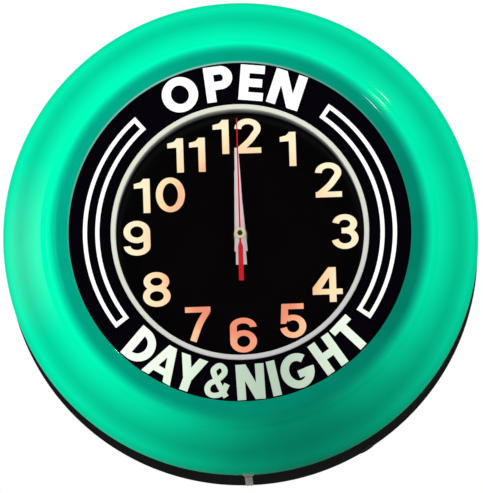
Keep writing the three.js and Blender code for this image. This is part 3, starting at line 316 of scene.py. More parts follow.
def add(piece, material, body, slot, *replaced):
    """Puts a new piece on its body, with its material and the CAD nodes it stands for."""
    piece.data.materials.clear()
    piece.data.materials.append(material)
    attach(piece, body)
    if replaced:
        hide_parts(*replaced)
    return piece


# ---------------------------------------------------------------- material nodes


class Shading:
    """A new material, and short calls that add nodes to its tree. Each call returns a node's output."""

    def __init__(self, name, roughness=0.5, metallic=0.0, ior=1.45, coat=0.0, coat_roughness=0.03):
        self.material = bpy.data.materials.new(name)
        self.material.use_nodes = True
        self.tree = self.material.node_tree
        self.surface = self.tree.nodes["Principled BSDF"]
        self.set("Roughness", roughness)
        self.set("Metallic", metallic)
        self.set("IOR", ior)
        self.set("Coat Weight", coat)
        self.set("Coat Roughness", coat_roughness)

    def set(self, socket, value):
        """Sets one of the surface shader's sockets, or joins a node's output to it."""
        self.feed(self.surface.inputs[socket], value)

    def feed(self, socket, value):
        if isinstance(value, bpy.types.NodeSocket):
            self.tree.links.new(value, socket)
        elif socket.type == "RGBA":
            socket.default_value = (*value[:3], 1)
        else:
            socket.default_value = value

    def node(self, kind, *values, **settings):
        made = self.tree.nodes.new(kind)
        for key, value in settings.items():
            setattr(made, key, value)
        for socket, value in zip(made.inputs, values):
            if value is not None:
                self.feed(socket, value)
        return made

    def math(self, operation, *values, clamp=False):
        return self.node("ShaderNodeMath", *values, operation=operation, use_clamp=clamp).outputs[0]

    def place(self):
        """The point's place in the frame."""
        return self.node("ShaderNodeTexCoord").outputs["Object"]

    def split(self):
        """The point's x, y and z in the frame."""
        return self.node("ShaderNodeSeparateXYZ", self.place()).outputs

    def polar(self):
        """The point's distance from the clock's axis, and its angle round it in radians."""
        x, _, z = self.split()
        squares = self.math("ADD", self.math("MULTIPLY", x, x), self.math("MULTIPLY", z, z))
        return self.math("SQRT", squares), self.math("ARCTAN2", z, x)

    def facing(self, angle, degrees):
        """One where the angle round the clock is the given one, falling to nothing opposite to it."""
        off = self.math("SUBTRACT", angle, math.radians(degrees))
        return self.math("MULTIPLY_ADD", self.math("COSINE", off), 0.5, 0.5)

    def noise(self, size, detail=2.0, roughness=0.5, stretch=None):
        """Noise from nothing to one, with features of about the given size in metres."""
        place = self.place()
        if stretch:
            place = self.node("ShaderNodeVectorMath", place, stretch, operation="MULTIPLY").outputs[0]
        made = self.node("ShaderNodeTexNoise")
        self.feed(made.inputs["Vector"], place)
        self.feed(made.inputs["Scale"], 1 / size)
        self.feed(made.inputs["Detail"], detail)
        self.feed(made.inputs["Roughness"], roughness)
        return made.outputs["Fac"]

    def spread(self, value, low, high, start=0.0, end=1.0, smooth=False):
        """A value from start to end, brought to the span from low to high."""
        kind = "SMOOTHSTEP" if smooth else "LINEAR"
        made = self.node("ShaderNodeMapRange", value, start, end, low, high, interpolation_type=kind)
        return made.outputs[0]

    def ramp(self, value, *stops):
        """Colours by value, from (place, colour) stops."""
        made = self.node("ShaderNodeValToRGB", value)
        band = made.color_ramp
        while len(band.elements) < len(stops):
            band.elements.new(0.5)
        for element, (where, colour) in zip(band.elements, stops):
            element.position = where
            element.color = (*colour, 1)
        return made.outputs[0]

    def mix(self, share, first, second):
        """The first colour, turning into the second as share goes to one."""
        made = self.tree.nodes.new("ShaderNodeMix")
        made.data_type = "RGBA"
        self.feed(made.inputs["Factor"], share)
        self.feed(made.inputs["A"], first)
        self.feed(made.inputs["B"], second)
        return made.outputs["Result"]

    def scale_colour(self, colour, value):
        made = self.node("ShaderNodeVectorMath", operation="SCALE")
        self.feed(made.inputs[0], colour)
        self.feed(made.inputs["Scale"], value)
        return made.outputs[0]

    def bump(self, height, rise):
        """Raises the surface by height times rise metres."""
        made = self.node("ShaderNodeBump")
        made.inputs["Strength"].default_value = 1.0
        made.inputs["Distance"].default_value = rise
        self.feed(made.inputs["Height"], height)
        self.set("Normal", made.outputs[0])

    def glow(self, colour):
        """Light that the surface gives off, as in a lit sign."""
        self.set("Emission Color", colour)
        self.set("Emission Strength", 1.0)


def finish(name, colour, roughness, metallic=0.0, vary=0.12, blotch=0.02, grain=0.0008,
           grain_rise=0.00002, worn=None, coat=0.0, ior=1.45, stretch=None):
    """A plain material with slow colour variation, patchy roughness, a fine grain and worn edges."""
    shading = Shading(name, roughness, metallic, ior, coat)
    dark = tuple(value * (1 - vary) for value in colour)
    light = tuple(min(1.0, value * (1 + vary)) for value in colour)
    patches = shading.noise(blotch, 4, 0.6, stretch)
    tone = shading.ramp(patches, (0.3, dark), (0.7, light))
    if worn:
        pointed = shading.node("ShaderNodeNewGeometry").outputs["Pointiness"]
        edge = shading.spread(pointed, 0, 1, 0.52, 0.6)
        scratched = shading.math("MULTIPLY", edge, shading.noise(blotch / 3, 5, 0.7), clamp=True)
        tone = shading.mix(scratched, tone, worn)
    shading.set("Base Color", tone)
    patchy = shading.noise(blotch * 1.7, 5)
    shading.set("Roughness", shading.spread(patchy, roughness * 0.75, roughness * 1.3))
    shading.bump(shading.noise(grain, 3, 0.6, stretch), grain_rise)
    return shading.material


LAMP_GAP = 281  # degrees round the clock where the ring tube's ends leave a gap
GREEN_BLUE = 0.5  # blue in the plastic's glow, for one of green


def green_plastic():
    """Moulded green plastic with its back-lighting painted as glow: bright over the tube, dim over the
    flange and the gap, with painted light from the upper left, painted shade in the cove and a painted
    highlight along the lip.
    """
    shading = Shading("green_plastic", 0.12, ior=1.49, coat=0.0)
    radius, angle = shading.polar()

    # Painted glow standing in for the ring tube's light: dimmer near the tube's gap, and lighter towards
    # the left as painted light from that side.
    near_gap = shading.math("POWER", shading.facing(angle, LAMP_GAP + 2), 6.3)
    band = shading.math("MULTIPLY_ADD", shading.math("COSINE", angle), -0.09, 0.84)
    band = shading.math("MULTIPLY_ADD", near_gap, -0.68, band)
    # Painted light on the flange, brightest towards the upper left.
    off_flange = shading.math("SUBTRACT", angle, math.radians(150))
    flange = shading.math("MULTIPLY_ADD", shading.math("COSINE", off_flange), 0.10, 0.20)

    place = shading.spread(radius, 0, 1, OPENING, RIM.radius)
    # Painted light and shade across the profile: brightest over the tube, painted shade in the cove,
    # painted light on the shoulder.
    profile = shading.ramp(
        place,
        (0.24, (0.80,) * 3),
        (0.34, (1.0,) * 3),
        (0.42, (0.97,) * 3),
        (0.54, (0.84,) * 3),
        (0.72, (0.62,) * 3),
        (0.80, (0.68,) * 3),
        (0.91, (0.86,) * 3),
        (1.0, (0.70,) * 3),
    )
    over_tube = shading.math("MULTIPLY", band, profile)
    past_flange = shading.spread(radius, 0, 1, OPENING + 10 * MM, OPENING + 23 * MM, smooth=True)
    level = shading.node("ShaderNodeMix", data_type="FLOAT")
    shading.feed(level.inputs["Factor"], past_flange)
    shading.feed(level.inputs["A"], flange)
    shading.feed(level.inputs["B"], over_tube)
    cloud = shading.spread(shading.noise(0.05, 3), 0.96, 1.04)
    lit = shading.math("MULTIPLY", level.outputs["Result"], cloud)

    hue = shading.mix(past_flange, (0.0, 1.0, 0.64), (0.0, 1.0, GREEN_BLUE))
    # Painted highlight: a thin pale line along the lip's inner edge, strongest at the upper left.
    painted_lip_highlight = shading.spread(radius, 1, 0, OPENING + 0.8 * MM, OPENING + 1.8 * MM)
    painted_lip_highlight = shading.math("MULTIPLY", painted_lip_highlight, shading.math("POWER", shading.facing(angle, 112), 5.0))
    shading.glow(shading.mix(painted_lip_highlight, shading.scale_colour(hue, lit), (0.27, 0.42, 0.38)))
    shading.set("Base Color", shading.ramp(
        shading.noise(0.03, 4),
        (0.3, (0.0, 0.075, 0.045)),
        (0.7, (0.0, 0.095, 0.06)),
    ))
    shading.set("Roughness", shading.spread(shading.noise(0.02, 5), 0.06, 0.10))
    shading.bump(shading.noise(0.012, 2), 0.00002)
    return shading.material


def lettering_white():
    """White letters with their back-lighting painted as glow, dimmer and greener where the ring tube has
    its gap.
    """
    shading = Shading("letter_white", 0.2, ior=1.49)
    _, angle = shading.polar()
    # Painted glow: dimmed and tinted green towards the tube's gap.
    near_gap = shading.math("POWER", shading.facing(angle, LAMP_GAP - 2), 14.0)
    low = shading.math("POWER", shading.facing(angle, LAMP_GAP - 8), 3.0)
    tone = shading.mix(low, (1.0, 1.0, 0.98), (0.80, 0.95, 0.72))
    tone = shading.mix(near_gap, tone, (0.36, 0.50, 0.37))
    haze = shading.spread(shading.noise(0.012, 3), 0.93, 1.03)
    shading.glow(shading.scale_colour(tone, haze))
    shading.set("Base Color", (0.1, 0.1, 0.1))
    shading.bump(shading.noise(0.0006, 2), 0.00001)
    return shading.material


def numeral_cream():
    """Cream numerals with their back-lighting painted as glow: salmon where less light is painted, cream
    where more is.
    """
    shading = Shading("numeral_cream", 0.25, ior=1.49)
    radius, angle = shading.polar()
    # Painted back-lighting: brighter towards the outer edge, dimmer towards the tube's gap.
    outer = shading.spread(radius, 0.35, 1.0, 0.082, 0.114)
    near_gap = shading.math("POWER", shading.facing(angle, LAMP_GAP - 8), 5.0)
    light = shading.math("MULTIPLY_ADD", near_gap, -0.85, outer)
    light = shading.math("ADD", light, shading.spread(shading.noise(0.018, 3), -0.12, 0.12))
    tone = shading.ramp(
        light,
        (0.0, (0.84, 0.27, 0.16)),
        (0.25, (0.95, 0.42, 0.23)),
        (0.5, (1.0, 0.68, 0.38)),
        (1.0, (1.0, 0.88, 0.60)),
    )
    shading.glow(tone)
    shading.set("Base Color", (0.03, 0.02, 0.015))
    shading.bump(shading.noise(0.0006, 2), 0.00001)
    return shading.material


def black_gloss(name, colour, roughness, ior=1.49):
    """Glossy black sheet with specks of dust."""
    shading = Shading(name, roughness, ior=ior)
    dust = shading.spread(shading.noise(0.0016, 1), 0, 1, 0.80, 0.86)
    shading.set("Base Color", shading.mix(dust, colour, (0.05, 0.05, 0.055)))
    shading.set("Roughness", shading.spread(shading.noise(0.04, 5), roughness * 0.6, roughness * 1.6))
    shading.bump(shading.noise(0.03, 1), 0.00002)
    return shading.material


def cream_plastic():
    """Pale plastic of the dial's well: its lip with painted shade towards the bottom, its wall with a
    painted glow near the lip and painted shade fading to black down its depth.
    """
    shading = Shading("cream_plastic", 0.4, ior=1.49)
    _, depth, _ = shading.split()
    down = shading.spread(depth, 0, 1, -WELL.front, -WELL.front + 20 * MM)
    _, angle = shading.polar()
    # Painted shade: the lip is darker towards the bottom.
    low = shading.math("POWER", shading.facing(angle, 290), 3.0)
    lip = shading.mix(low, (0.55, 0.57, 0.48), (0.42, 0.42, 0.42))
    # Painted shade down the wall, to near black.
    tone = shading.mix(shading.spread(down, 0, 1, 0.04, 0.09), lip, (0.02, 0.02, 0.02))
    stain = shading.spread(shading.noise(0.01, 4), 0.94, 1.04)
    shading.set("Base Color", shading.scale_colour(tone, stain))
    # Painted light spill on the wall, fading with depth.
    shading.glow(shading.ramp(
        down,
        (0.04, (0.0,) * 3),
        (0.10, (0.20, 0.22, 0.21)),
        (0.5, (0.09, 0.10, 0.095)),
        (1.0, (0.02,) * 3),
    ))
    shading.set("Roughness", shading.spread(shading.noise(0.02, 4), 0.4, 0.55))
    shading.bump(shading.noise(0.002, 2), 0.00002)
    return shading.material


def brushed(name, colour, roughness, along):
    """Metal with fine lines along one direction: along is how much finer the lines are than long."""
    shading = Shading(name, roughness, 1.0)
    lines = shading.noise(0.0004, 3, 0.7, stretch=along)
    dark = tuple(value * 0.82 for value in colour)
    shading.set("Base Color", shading.ramp(lines, (0.3, dark), (0.7, colour)))
    shading.set("Roughness", shading.spread(lines, roughness * 0.7, roughness * 1.4))
    shading.bump(lines, 0.000008)
    return shading.material


def painted_hand(name, colour, roughness):
    """Thin satin paint on a stamped hand."""
    return finish(name, colour, roughness, vary=0.05, blotch=0.01, grain=0.0003, grain_rise=0.000006)


GREEN = green_plastic()
LETTER = lettering_white()
NUMERAL = numeral_cream()
PANEL_BLACK = black_gloss("black_acrylic", (0.0012, 0.0006, 0.0022), 0.05)
DIAL_BLACK = black_gloss("dial_black", (0.0012, 0.0005, 0.0006), 0.2, 1.5)
CREAM = cream_plastic()
ENAMEL = finish("black_enamel", (0.006, 0.003, 0.004), 0.28, vary=0.35, blotch=0.03, grain=0.0009,
                grain_rise=0.00002)
HUB_BRASS = finish("hub_brass", (0.72, 0.62, 0.36), 0.4, 0.3, vary=0.1, blotch=0.003, grain=0.0003,
                   grain_rise=0.00001, worn=(0.86, 0.8, 0.6))
BRASS = finish("brass", (0.78, 0.56, 0.24), 0.24, 1.0, vary=0.15, blotch=0.006, grain=0.0004,
               grain_rise=0.00001, worn=(0.9, 0.72, 0.4))
NICKEL = finish("nickel", (0.46, 0.44, 0.42), 0.35, 0.6, vary=0.15, blotch=0.003, grain=0.0003,
                grain_rise=0.00001, worn=(0.8, 0.78, 0.75))
STEEL = brushed("steel", (0.5, 0.5, 0.5), 0.35, (1, 1, 12))
HAND_GREY = painted_hand("hand_grey", (0.60, 0.53, 0.53), 0.45)
HAND_RED = painted_hand("hand_red", (0.42, 0.002, 0.008), 0.35)
WHITE_ENAMEL = finish("white_enamel", (0.78, 0.78, 0.75), 0.25, vary=0.05, blotch=0.04)
RUBBER = finish("rubber", (0.018, 0.018, 0.018), 0.65, vary=0.3, blotch=0.006, grain_rise=0.00004)
WIRE_RED = finish("wire_red", (0.32, 0.02, 0.015), 0.4, vary=0.2, blotch=0.01)
PORCELAIN = finish("porcelain", (0.80, 0.78, 0.72), 0.15, vary=0.05, blotch=0.008, coat=0.5)
PHENOLIC = finish("phenolic", (0.035, 0.018, 0.012), 0.3, vary=0.4, blotch=0.004)
TAPE = finish("coil_tape", (0.55, 0.30, 0.07), 0.45, vary=0.25, blotch=0.008, stretch=(1, 6, 1))
IRON = finish("transformer_iron", (0.02, 0.02, 0.022), 0.4, vary=0.25, blotch=0.02, worn=(0.2, 0.2, 0.2))


def lamp_glass():
    """The coated glass of the ring tube, lit."""
    shading = Shading("lamp_glass", 0.1, ior=1.5, coat=0.5)
    shading.set("Base Color", (0.8, 0.85, 0.8))
    cloud = shading.spread(shading.noise(0.03, 2), 0.9, 1.05)
    shading.glow(shading.scale_colour((0.75, 1.0, 0.85), cloud))
    shading.bump(shading.noise(0.004, 1), 0.00002)
    return shading.material


GLASS = lamp_glass()

# ---------------------------------------------------------------- lettering
# A glyph is a list of flat shapes, each a list of (x, z) points, whose sum is the letter or numeral.
# It stands on z = 0, centred on x = 0, and its strokes are shapes that overlap.


class Pen:
    """Draws a glyph of one width and height with strokes of one thickness, level ones being thinner."""

    def __init__(self, width, height, stem, hair=None):
        self.half = width / 2
        self.height = height
        self.stem = stem
        self.hair = hair or stem
        self.shapes = []

    def box(self, left, right, low, high):
        self.shapes.append([(left, low), (right, low), (right, high), (left, high)])

    def shape(self, *points):
        self.shapes.append(list(points))

    def slant(self, low_x, high_x, low=0.0, high=None, thickness=None):
        """A straight sloping stroke with level ends; low_x and high_x are its middles there."""
        high = self.height if high is None else high
        thickness = thickness or self.stem
        reach = math.hypot(high_x - low_x, high - low) / (high - low) * thickness / 2
        self.shape(
            (low_x - reach, low), (low_x + reach, low),
            (high_x + reach, high), (high_x - reach, high),
        )

    def stroke(self, path):
        """A band along a path, as thick as the pen is across the way it goes."""
        path = [Vector(point) for point in path]
        last = len(path) - 1
        closed = (path[0] - path[-1]).length < 1e-6
        rails = []
        for i, point in enumerate(path):
            before = path[i - 1 if i else (-2 if closed else 0)]
            after = path[i + 1 if i < last else (1 if closed else last)]
            way = (after - before).normalized()
            across = Vector((-way.y, way.x))
            half = math.hypot(self.stem * way.y, self.hair * way.x) / 2
            rails.append((point + across * half, point - across * half))
        for (left, right), (next_left, next_right) in zip(rails, rails[1:]):
            self.shapes.append([tuple(right), tuple(next_right), tuple(next_left), tuple(left)])

    def bow(self, low, high, start, end, left=None, right=None):
        """An arc of stroke inside a box as wide as the glyph, from one angle to another."""
        left = -self.half if left is None else left
        right = self.half if right is None else right
        centre = ((left + right) / 2, (low + high) / 2)
        radii = ((right - left - self.stem) / 2, (high - low - self.hair) / 2)
        self.stroke(arc(centre, radii, start, end, 40))

    def stem_at(self, left):
        self.box(left, left + self.stem, 0, self.height)

    def bar_at(self, low, left=None, right=None):
        left = -self.half if left is None else left
        right = self.half if right is None else right
        self.box(left, right, low, low + self.hair)

    def bowl(self, low, high, right=None):
        """A bar, a half circle and a bar back, standing against a stem at the left."""
        right = self.half if right is None else right
        radius = (high - low - self.hair) / 2
        centre = (right - self.stem / 2 - radius, (low + high) / 2)
        self.stroke([(-self.half + self.stem / 2, high - self.hair / 2), (centre[0], high - self.hair / 2)])
        self.stroke(arc(centre, (radius, radius), 90, -90, 24))
        self.stroke([(centre[0], low + self.hair / 2), (-self.half + self.stem / 2, low + self.hair / 2)])


def spline(points, steps=8):
    """A smooth curve through the points."""
    padded = [points[0], *points, points[-1]]
    for a, b, c, d in zip(padded, padded[1:], padded[2:], padded[3:]):
        a, b, c, d = (Vector(point) for point in (a, b, c, d))
        for step in range(steps):
            t = step / steps
            yield 0.5 * (2 * b + (c - a) * t + (2 * a - 5 * b + 4 * c - d) * t ** 2
                         + (3 * b - a - 3 * c + d) * t ** 3)
    yield Vector(points[-1])


def numeral_0(pen):
    pen.bow(0, pen.height, 0, 360)


def numeral_1(pen):
    left = pen.half - pen.stem
    top = pen.height * 0.985
    pen.box(left, pen.half, 0, top)
    pen.shape(
        (-pen.half, top * 0.72),
        (left + pen.stem / 2, top * 0.74),
        (left + pen.stem / 2, top),
        (left + pen.stem * 0.1, top),
        (left - pen.stem * 0.4, top * 0.90),
        (-pen.half, top * 0.855),
    )


def numeral_2(pen):
    head = pen.height * 0.58
    crown = pen.height - head / 2
    radii = (pen.half - pen.stem / 2, (head - pen.hair) / 2)
    bend = list(arc((0, crown), radii, 180, -25, 30))
    foot = (-pen.half + pen.stem * 0.56, pen.hair * 0.6)
    waist = (pen.half * 0.10, pen.height * 0.35)
    pen.stroke([*bend, *list(spline([bend[-1], waist, foot]))[1:]])
    pen.bar_at(0)


def numeral_3(pen):
    waist = pen.height * 0.53
    side = pen.half * 0.93
    pen.bow(waist - pen.hair / 2, pen.height, 172, -90, -side, side)
    pen.bow(0, waist + pen.hair / 2, 90, -172)
    pen.bar_at(waist - pen.hair / 2, -pen.half * 0.25, 0)


def numeral_4(pen):
    post = pen.half * 0.58
    shelf = pen.height * 0.22
    pen.box(post - pen.stem, post, 0, pen.height)
    pen.bar_at(shelf)
    pen.shape(
        (-pen.half, shelf + pen.hair * 0.4),
        (-pen.half + pen.stem * 0.95, shelf + pen.hair * 0.4),
        (post - pen.stem * 0.85, pen.height * 0.76),
        (post - pen.stem * 0.75, pen.height),
        (post - pen.stem * 1.1, pen.height),
        (-pen.half, shelf + pen.hair * 1.25),
    )


def numeral_5(pen):
    top = pen.height * 0.985
    side = -pen.half * 0.94
    pen.box(side + pen.stem * 0.18, pen.half * 0.84, top - pen.hair, top)
    pen.shape(
        (side, top * 0.42),
        (side + pen.stem * 0.75, top * 0.42),
        (side + pen.stem * 1.1, top * 0.53),
        (side + pen.stem * 1.15, top),
        (side + pen.stem * 0.18, top),
    )
    pen.bow(0, pen.height * 0.665, 126, -172)


def numeral_6(pen):
    pen.bow(0, pen.height * 0.64, 0, 360)
    pen.bow(pen.height * 0.46, pen.height, 180, 0)
    pen.box(-pen.half, -pen.half + pen.stem, pen.height * 0.32, pen.height * 0.73)


def numeral_7(pen):
    top = pen.height * 0.985
    pen.box(-pen.half, pen.half, top - pen.hair, top)
    pen.stroke(spline([
        (pen.half * 0.74, top - pen.hair * 0.8),
        (pen.half * 0.1, pen.height * 0.48),
        (-pen.half * 0.42, 0),
    ]))


def numeral_8(pen):
    waist = pen.height * 0.53
    side = pen.half * 0.93
    pen.bow(waist - pen.hair / 2, pen.height, 0, 360, -side, side)
    pen.bow(0, waist + pen.hair / 2, 0, 360)


def numeral_9(pen):
    numeral_6(pen)
    pen.shapes = [[(-x, pen.height - z) for x, z in shape] for shape in pen.shapes]


def letter_a(pen):
    leg = pen.stem * 0.92
    pen.slant(-pen.half + leg * 0.53, -leg * 0.02, thickness=leg)
    pen.slant(pen.half - leg * 0.53, leg * 0.02, thickness=leg)
    pen.box(-pen.half * 0.6, pen.half * 0.6, pen.height * 0.17, pen.height * 0.17 + pen.hair * 0.85)


def letter_d(pen):
    pen.stem_at(-pen.half)
    pen.bowl(0, pen.height)


def letter_e(pen):
    pen.stem_at(-pen.half)
    pen.bar_at(0)
    pen.bar_at((pen.height - pen.hair) / 2, right=pen.half * 0.86)
    pen.bar_at(pen.height - pen.hair)


def letter_g(pen):
    pen.bow(0, pen.height, 42, 360)
    pen.bar_at(pen.height / 2 - pen.hair, -pen.half * 0.02, pen.half * 0.88)


def letter_h(pen):
    pen.stem_at(-pen.half)
    pen.stem_at(pen.half - pen.stem)
    pen.bar_at((pen.height - pen.hair) / 2)


def letter_i(pen):
    pen.stem_at(-pen.stem / 2)


def letter_n(pen):
    pen.stem_at(-pen.half)
    pen.stem_at(pen.half - pen.stem)
    pen.slant(pen.half - pen.stem * 0.62, -pen.half + pen.stem * 0.62)


def letter_o(pen):
    pen.bow(0, pen.height, 0, 360)


def letter_p(pen):
    pen.stem_at(-pen.half)
    pen.bowl(pen.height * 0.34, pen.height)


def letter_t(pen):
    pen.stem_at(-pen.stem / 2)
    pen.bar_at(pen.height - pen.hair)


def letter_y(pen):
    pen.slant(0, -pen.half + pen.stem * 0.6, pen.height * 0.36)
    pen.slant(0, pen.half - pen.stem * 0.6, pen.height * 0.36)
    pen.box(-pen.stem / 2, pen.stem / 2, 0, pen.height * 0.5)


def letter_and(pen):
    """A plain ampersand, drawn as one looping stroke thinner than the letters'."""
    pen.stem *= 0.68
    pen.hair *= 0.68
    side = pen.half - pen.stem / 2
    top = pen.height - pen.hair / 2
    low = pen.hair / 2
    pen.stroke(spline([
        (side * 0.95, low),
        (side * 0.15, pen.height * 0.36),
        (-side * 0.62, pen.height * 0.72),
        (-side * 0.42, pen.height * 0.87),
        (-side * 0.05, top),
        (side * 0.36, pen.height * 0.86),
        (side * 0.42, pen.height * 0.72),
        (-side * 0.1, pen.height * 0.53),
        (-side * 0.78, pen.height * 0.40),
        (-side, pen.height * 0.25),
        (-side * 0.78, pen.height * 0.11),
        (-side * 0.2, low),
        (side * 0.5, pen.height * 0.17),
        (side * 0.85, pen.height * 0.44),
    ], 12))


def flat_mesh(shapes):
    """The sum of flat shapes, as its corner points and triangles."""
    points = []
    faces = []
    for shape in shapes:
        area = sum(a[0] * b[1] - b[0] * a[1] for a, b in zip(shape, shape[1:] + shape[:1]))
        ordered = shape if area > 0 else shape[::-1]
        faces.append(list(range(len(points), len(points) + len(ordered))))
        points.extend(Vector(point) for point in ordered)
    corners, _, triangles, _, _, sources = delaunay_2d_cdt(points, [], faces, 0, 1e-6)
    return corners, [triangle for triangle, source in zip(triangles, sources) if source]


def raised(name, shapes, back, front):
    """A thin flat solid of the sum of shapes, between two depths."""
    points, triangles = flat_mesh(shapes)
    count = len(points)
    vertices = [(x, -front, z) for x, z in points] + [(x, -back, z) for x, z in points]
    seen = {}
    faces = []
    for triangle in triangles:
        faces.append(tuple(triangle))
        faces.append(tuple(i + count for i in reversed(triangle)))
        for a, b in zip(triangle, triangle[1:] + triangle[:1]):
            seen[(a, b)] = True
    for a, b in seen:
        if (b, a) not in seen:
            faces.append((a, a + count, b + count, b))
    piece = mesh_object(name, vertices, faces)
    tidy = bmesh.new()
    tidy.from_mesh(piece.data)
    bmesh.ops.dissolve_limit(tidy, angle_limit=math.radians(1), verts=tidy.verts, edges=tidy.edges)
    bmesh.ops.triangulate(tidy, faces=[face for face in tidy.faces if len(face.verts) > 4])
    tidy.to_mesh(piece.data)
    tidy.free()
    return piece


def moved(shapes, x, z, degrees=0.0):
    """Shapes turned about the origin and then moved."""
    turn = math.radians(degrees)
    cosine = math.cos(turn)
    sine = math.sin(turn)
    return [[(x + a * cosine - b * sine, z + a * sine + b * cosine) for a, b in shape] for shape in shapes]


def word_round_clock(glyphs, gaps, middle_angle, top_word):
    """Upright glyphs set along the lettering band; glyphs are (draw, width), gaps the spaces between."""
    mid_radius = (LETTER_FOOT + LETTER_HEAD) / 2
    height = LETTER_HEAD - LETTER_FOOT
    total = sum(width for _, width in glyphs) + sum(gaps)
    along = -total / 2
    placed = []
    for i, (draw, width) in enumerate(glyphs):
        pen = Pen(width, height, *LETTER_PENS[top_word])
        draw(pen)
        centre = along + width / 2
        swing = math.degrees(centre / mid_radius)
        angle = middle_angle - swing if top_word else middle_angle + swing
        radius = LETTER_FOOT if top_word else LETTER_HEAD
        turn = angle - 90 if top_word else angle + 90
        x = radius * math.cos(math.radians(angle))
        z = radius * math.sin(math.radians(angle))
        placed.append(moved(pen.shapes, x, z, turn))
        along += width + (gaps[i] if i < len(gaps) else 0)
    return placed


LETTER_PENS = {True: (10 * MM, 8.8 * MM), False: (9.2 * MM, 8.2 * MM)}  # of the top and bottom words
TOP_MIDDLE = 91.2  # degrees round the clock of each word's middle
LOW_MIDDLE = 271.2
TOP_WORD = [(letter_o, 39 * MM), (letter_p, 30 * MM), (letter_e, 26 * MM), (letter_n, 35 * MM)]
TOP_GAPS = [9 * MM, 7 * MM, 8 * MM]
LOW_WORD = [
    (letter_d, 28 * MM), (letter_a, 35 * MM), (letter_y, 31 * MM), (letter_and, 28 * MM),
    (letter_n, 30 * MM), (letter_i, 9.2 * MM), (letter_g, 36 * MM), (letter_h, 27 * MM),
    (letter_t, 25 * MM),
]
LOW_GAPS = [-2 * MM, -4 * MM, 3 * MM, 5 * MM, 5.5 * MM, 4 * MM, 5.5 * MM, 6 * MM]

on_panel = (PANEL.front + 0.02 * MM, PANEL.front + LETTER_RISE)
for name, glyphs, gaps, angle, top_word in (
    ("word_top", TOP_WORD, TOP_GAPS, TOP_MIDDLE, True),
    ("word_bottom", LOW_WORD, LOW_GAPS, LOW_MIDDLE, False),
):
    for i, shapes in enumerate(word_round_clock(glyphs, gaps, angle, top_word)):
        add(raised(f"{name}_{i + 1}", shapes, *on_panel), LETTER, "case", "letter_white")


def stripe(start, end):
    """Two arcs of a stripe joined at their ends."""
    half = STRIPE_WIDTH / 2
    inner, outer = STRIPE_RADII
    shapes = []
    steps = 48
    for radius in (inner, outer):
        near = list(arc((0, 0), (radius - half,) * 2, start, end, steps))
        far = list(arc((0, 0), (radius + half,) * 2, start, end, steps))
        for i in range(steps):
            shapes.append([near[i], far[i], far[i + 1], near[i + 1]])
    for angle, way in ((start, 1), (end, -1)):
        inside = angle + way * math.degrees(STRIPE_WIDTH / inner)
        corners = [
            (inner - half, angle), (outer + half, angle),
            (outer + half, inside), (inner - half, inside),
        ]
        shapes.append([
            (radius * math.cos(math.radians(turn)), radius * math.sin(math.radians(turn)))
            for radius, turn in corners
        ])
    return shapes


for name, (start, end) in STRIPES.items():
    add(raised(name, stripe(start, end), *on_panel), LETTER, "case", "letter_white")

NUMERALS = {
    0: (numeral_0, 31 * MM), 1: (numeral_1, 17 * MM), 2: (numeral_2, 28 * MM), 3: (numeral_3, 28.5 * MM),
    4: (numeral_4, 32 * MM), 5: (numeral_5, 28 * MM), 6: (numeral_6, 28.5 * MM), 7: (numeral_7, 27 * MM),
    8: (numeral_8, 29.5 * MM), 9: (numeral_9, 28.5 * MM),
}


def numeral_shapes(hour):
    """The one or two figures of an hour, side by side and centred on the origin."""
    figures = [NUMERALS[int(figure)] for figure in str(hour)]
    total = sum(width for _, width in figures) + NUMERAL_GAP * (len(figures) - 1)
    left = -total / 2
    shapes = []
    for draw, width in figures:
        pen = Pen(width, NUMERAL_HEIGHT, NUMERAL_STEM, NUMERAL_HAIR)
        draw(pen)
        shapes += moved(pen.shapes, left + width / 2, -NUMERAL_HEIGHT / 2)
        left += width + NUMERAL_GAP
    return shapes


on_dial = (DIAL.front + 0.02 * MM, DIAL.front + NUMERAL_RISE)
for hour in range(1, 13):
    turn = math.radians(90 - 30 * hour)
    across, up = NUMERAL_SHIFTS[hour]
    x = NUMERAL_RING * math.cos(turn) + across * MM
    z = NUMERAL_RING * math.sin(turn) + up * MM
    shapes = moved(numeral_shapes(hour), x, z)
    add(raised(f"numeral_{hour}", shapes, *on_dial), NUMERAL, "case", "numeral_cream")

# ---------------------------------------------------------------- rim, pan and panel


def rim_outline():
    """The moulded rim: flat flange, step, shallow valley, crest, slope, shoulder and skirt."""
    front = RIM.front / MM
    opening = OPENING / MM
    edge = RIM.radius / MM
    back = RIM.back / MM
    wall = RIM_WALL / MM
    outside = [
        (opening, front, 0.7),
        (opening + 14.5, front, 2.2),
        (opening + 24.5, front - 12.9, 1.8),
        (opening + 30, front - 11.6, 1.6),
        (edge - 9, front - 31, 2),
        (edge, front - 37, 4.5),
        (edge, back, 0.6),
    ]
    inside = [
        (edge - wall, back, 0.6),
        (edge - wall, front - 39, 3),
        (edge - 10.5, front - 34, 2),
        (opening + 29, front - 15.2, 2),
        (opening + 22.2, front - 15.9, 2.5),
        (opening + 12.8, front - wall, 1.5),
        (opening, front - wall, 0.7),
    ]
    return scaled(rounded(outside + inside, 8))


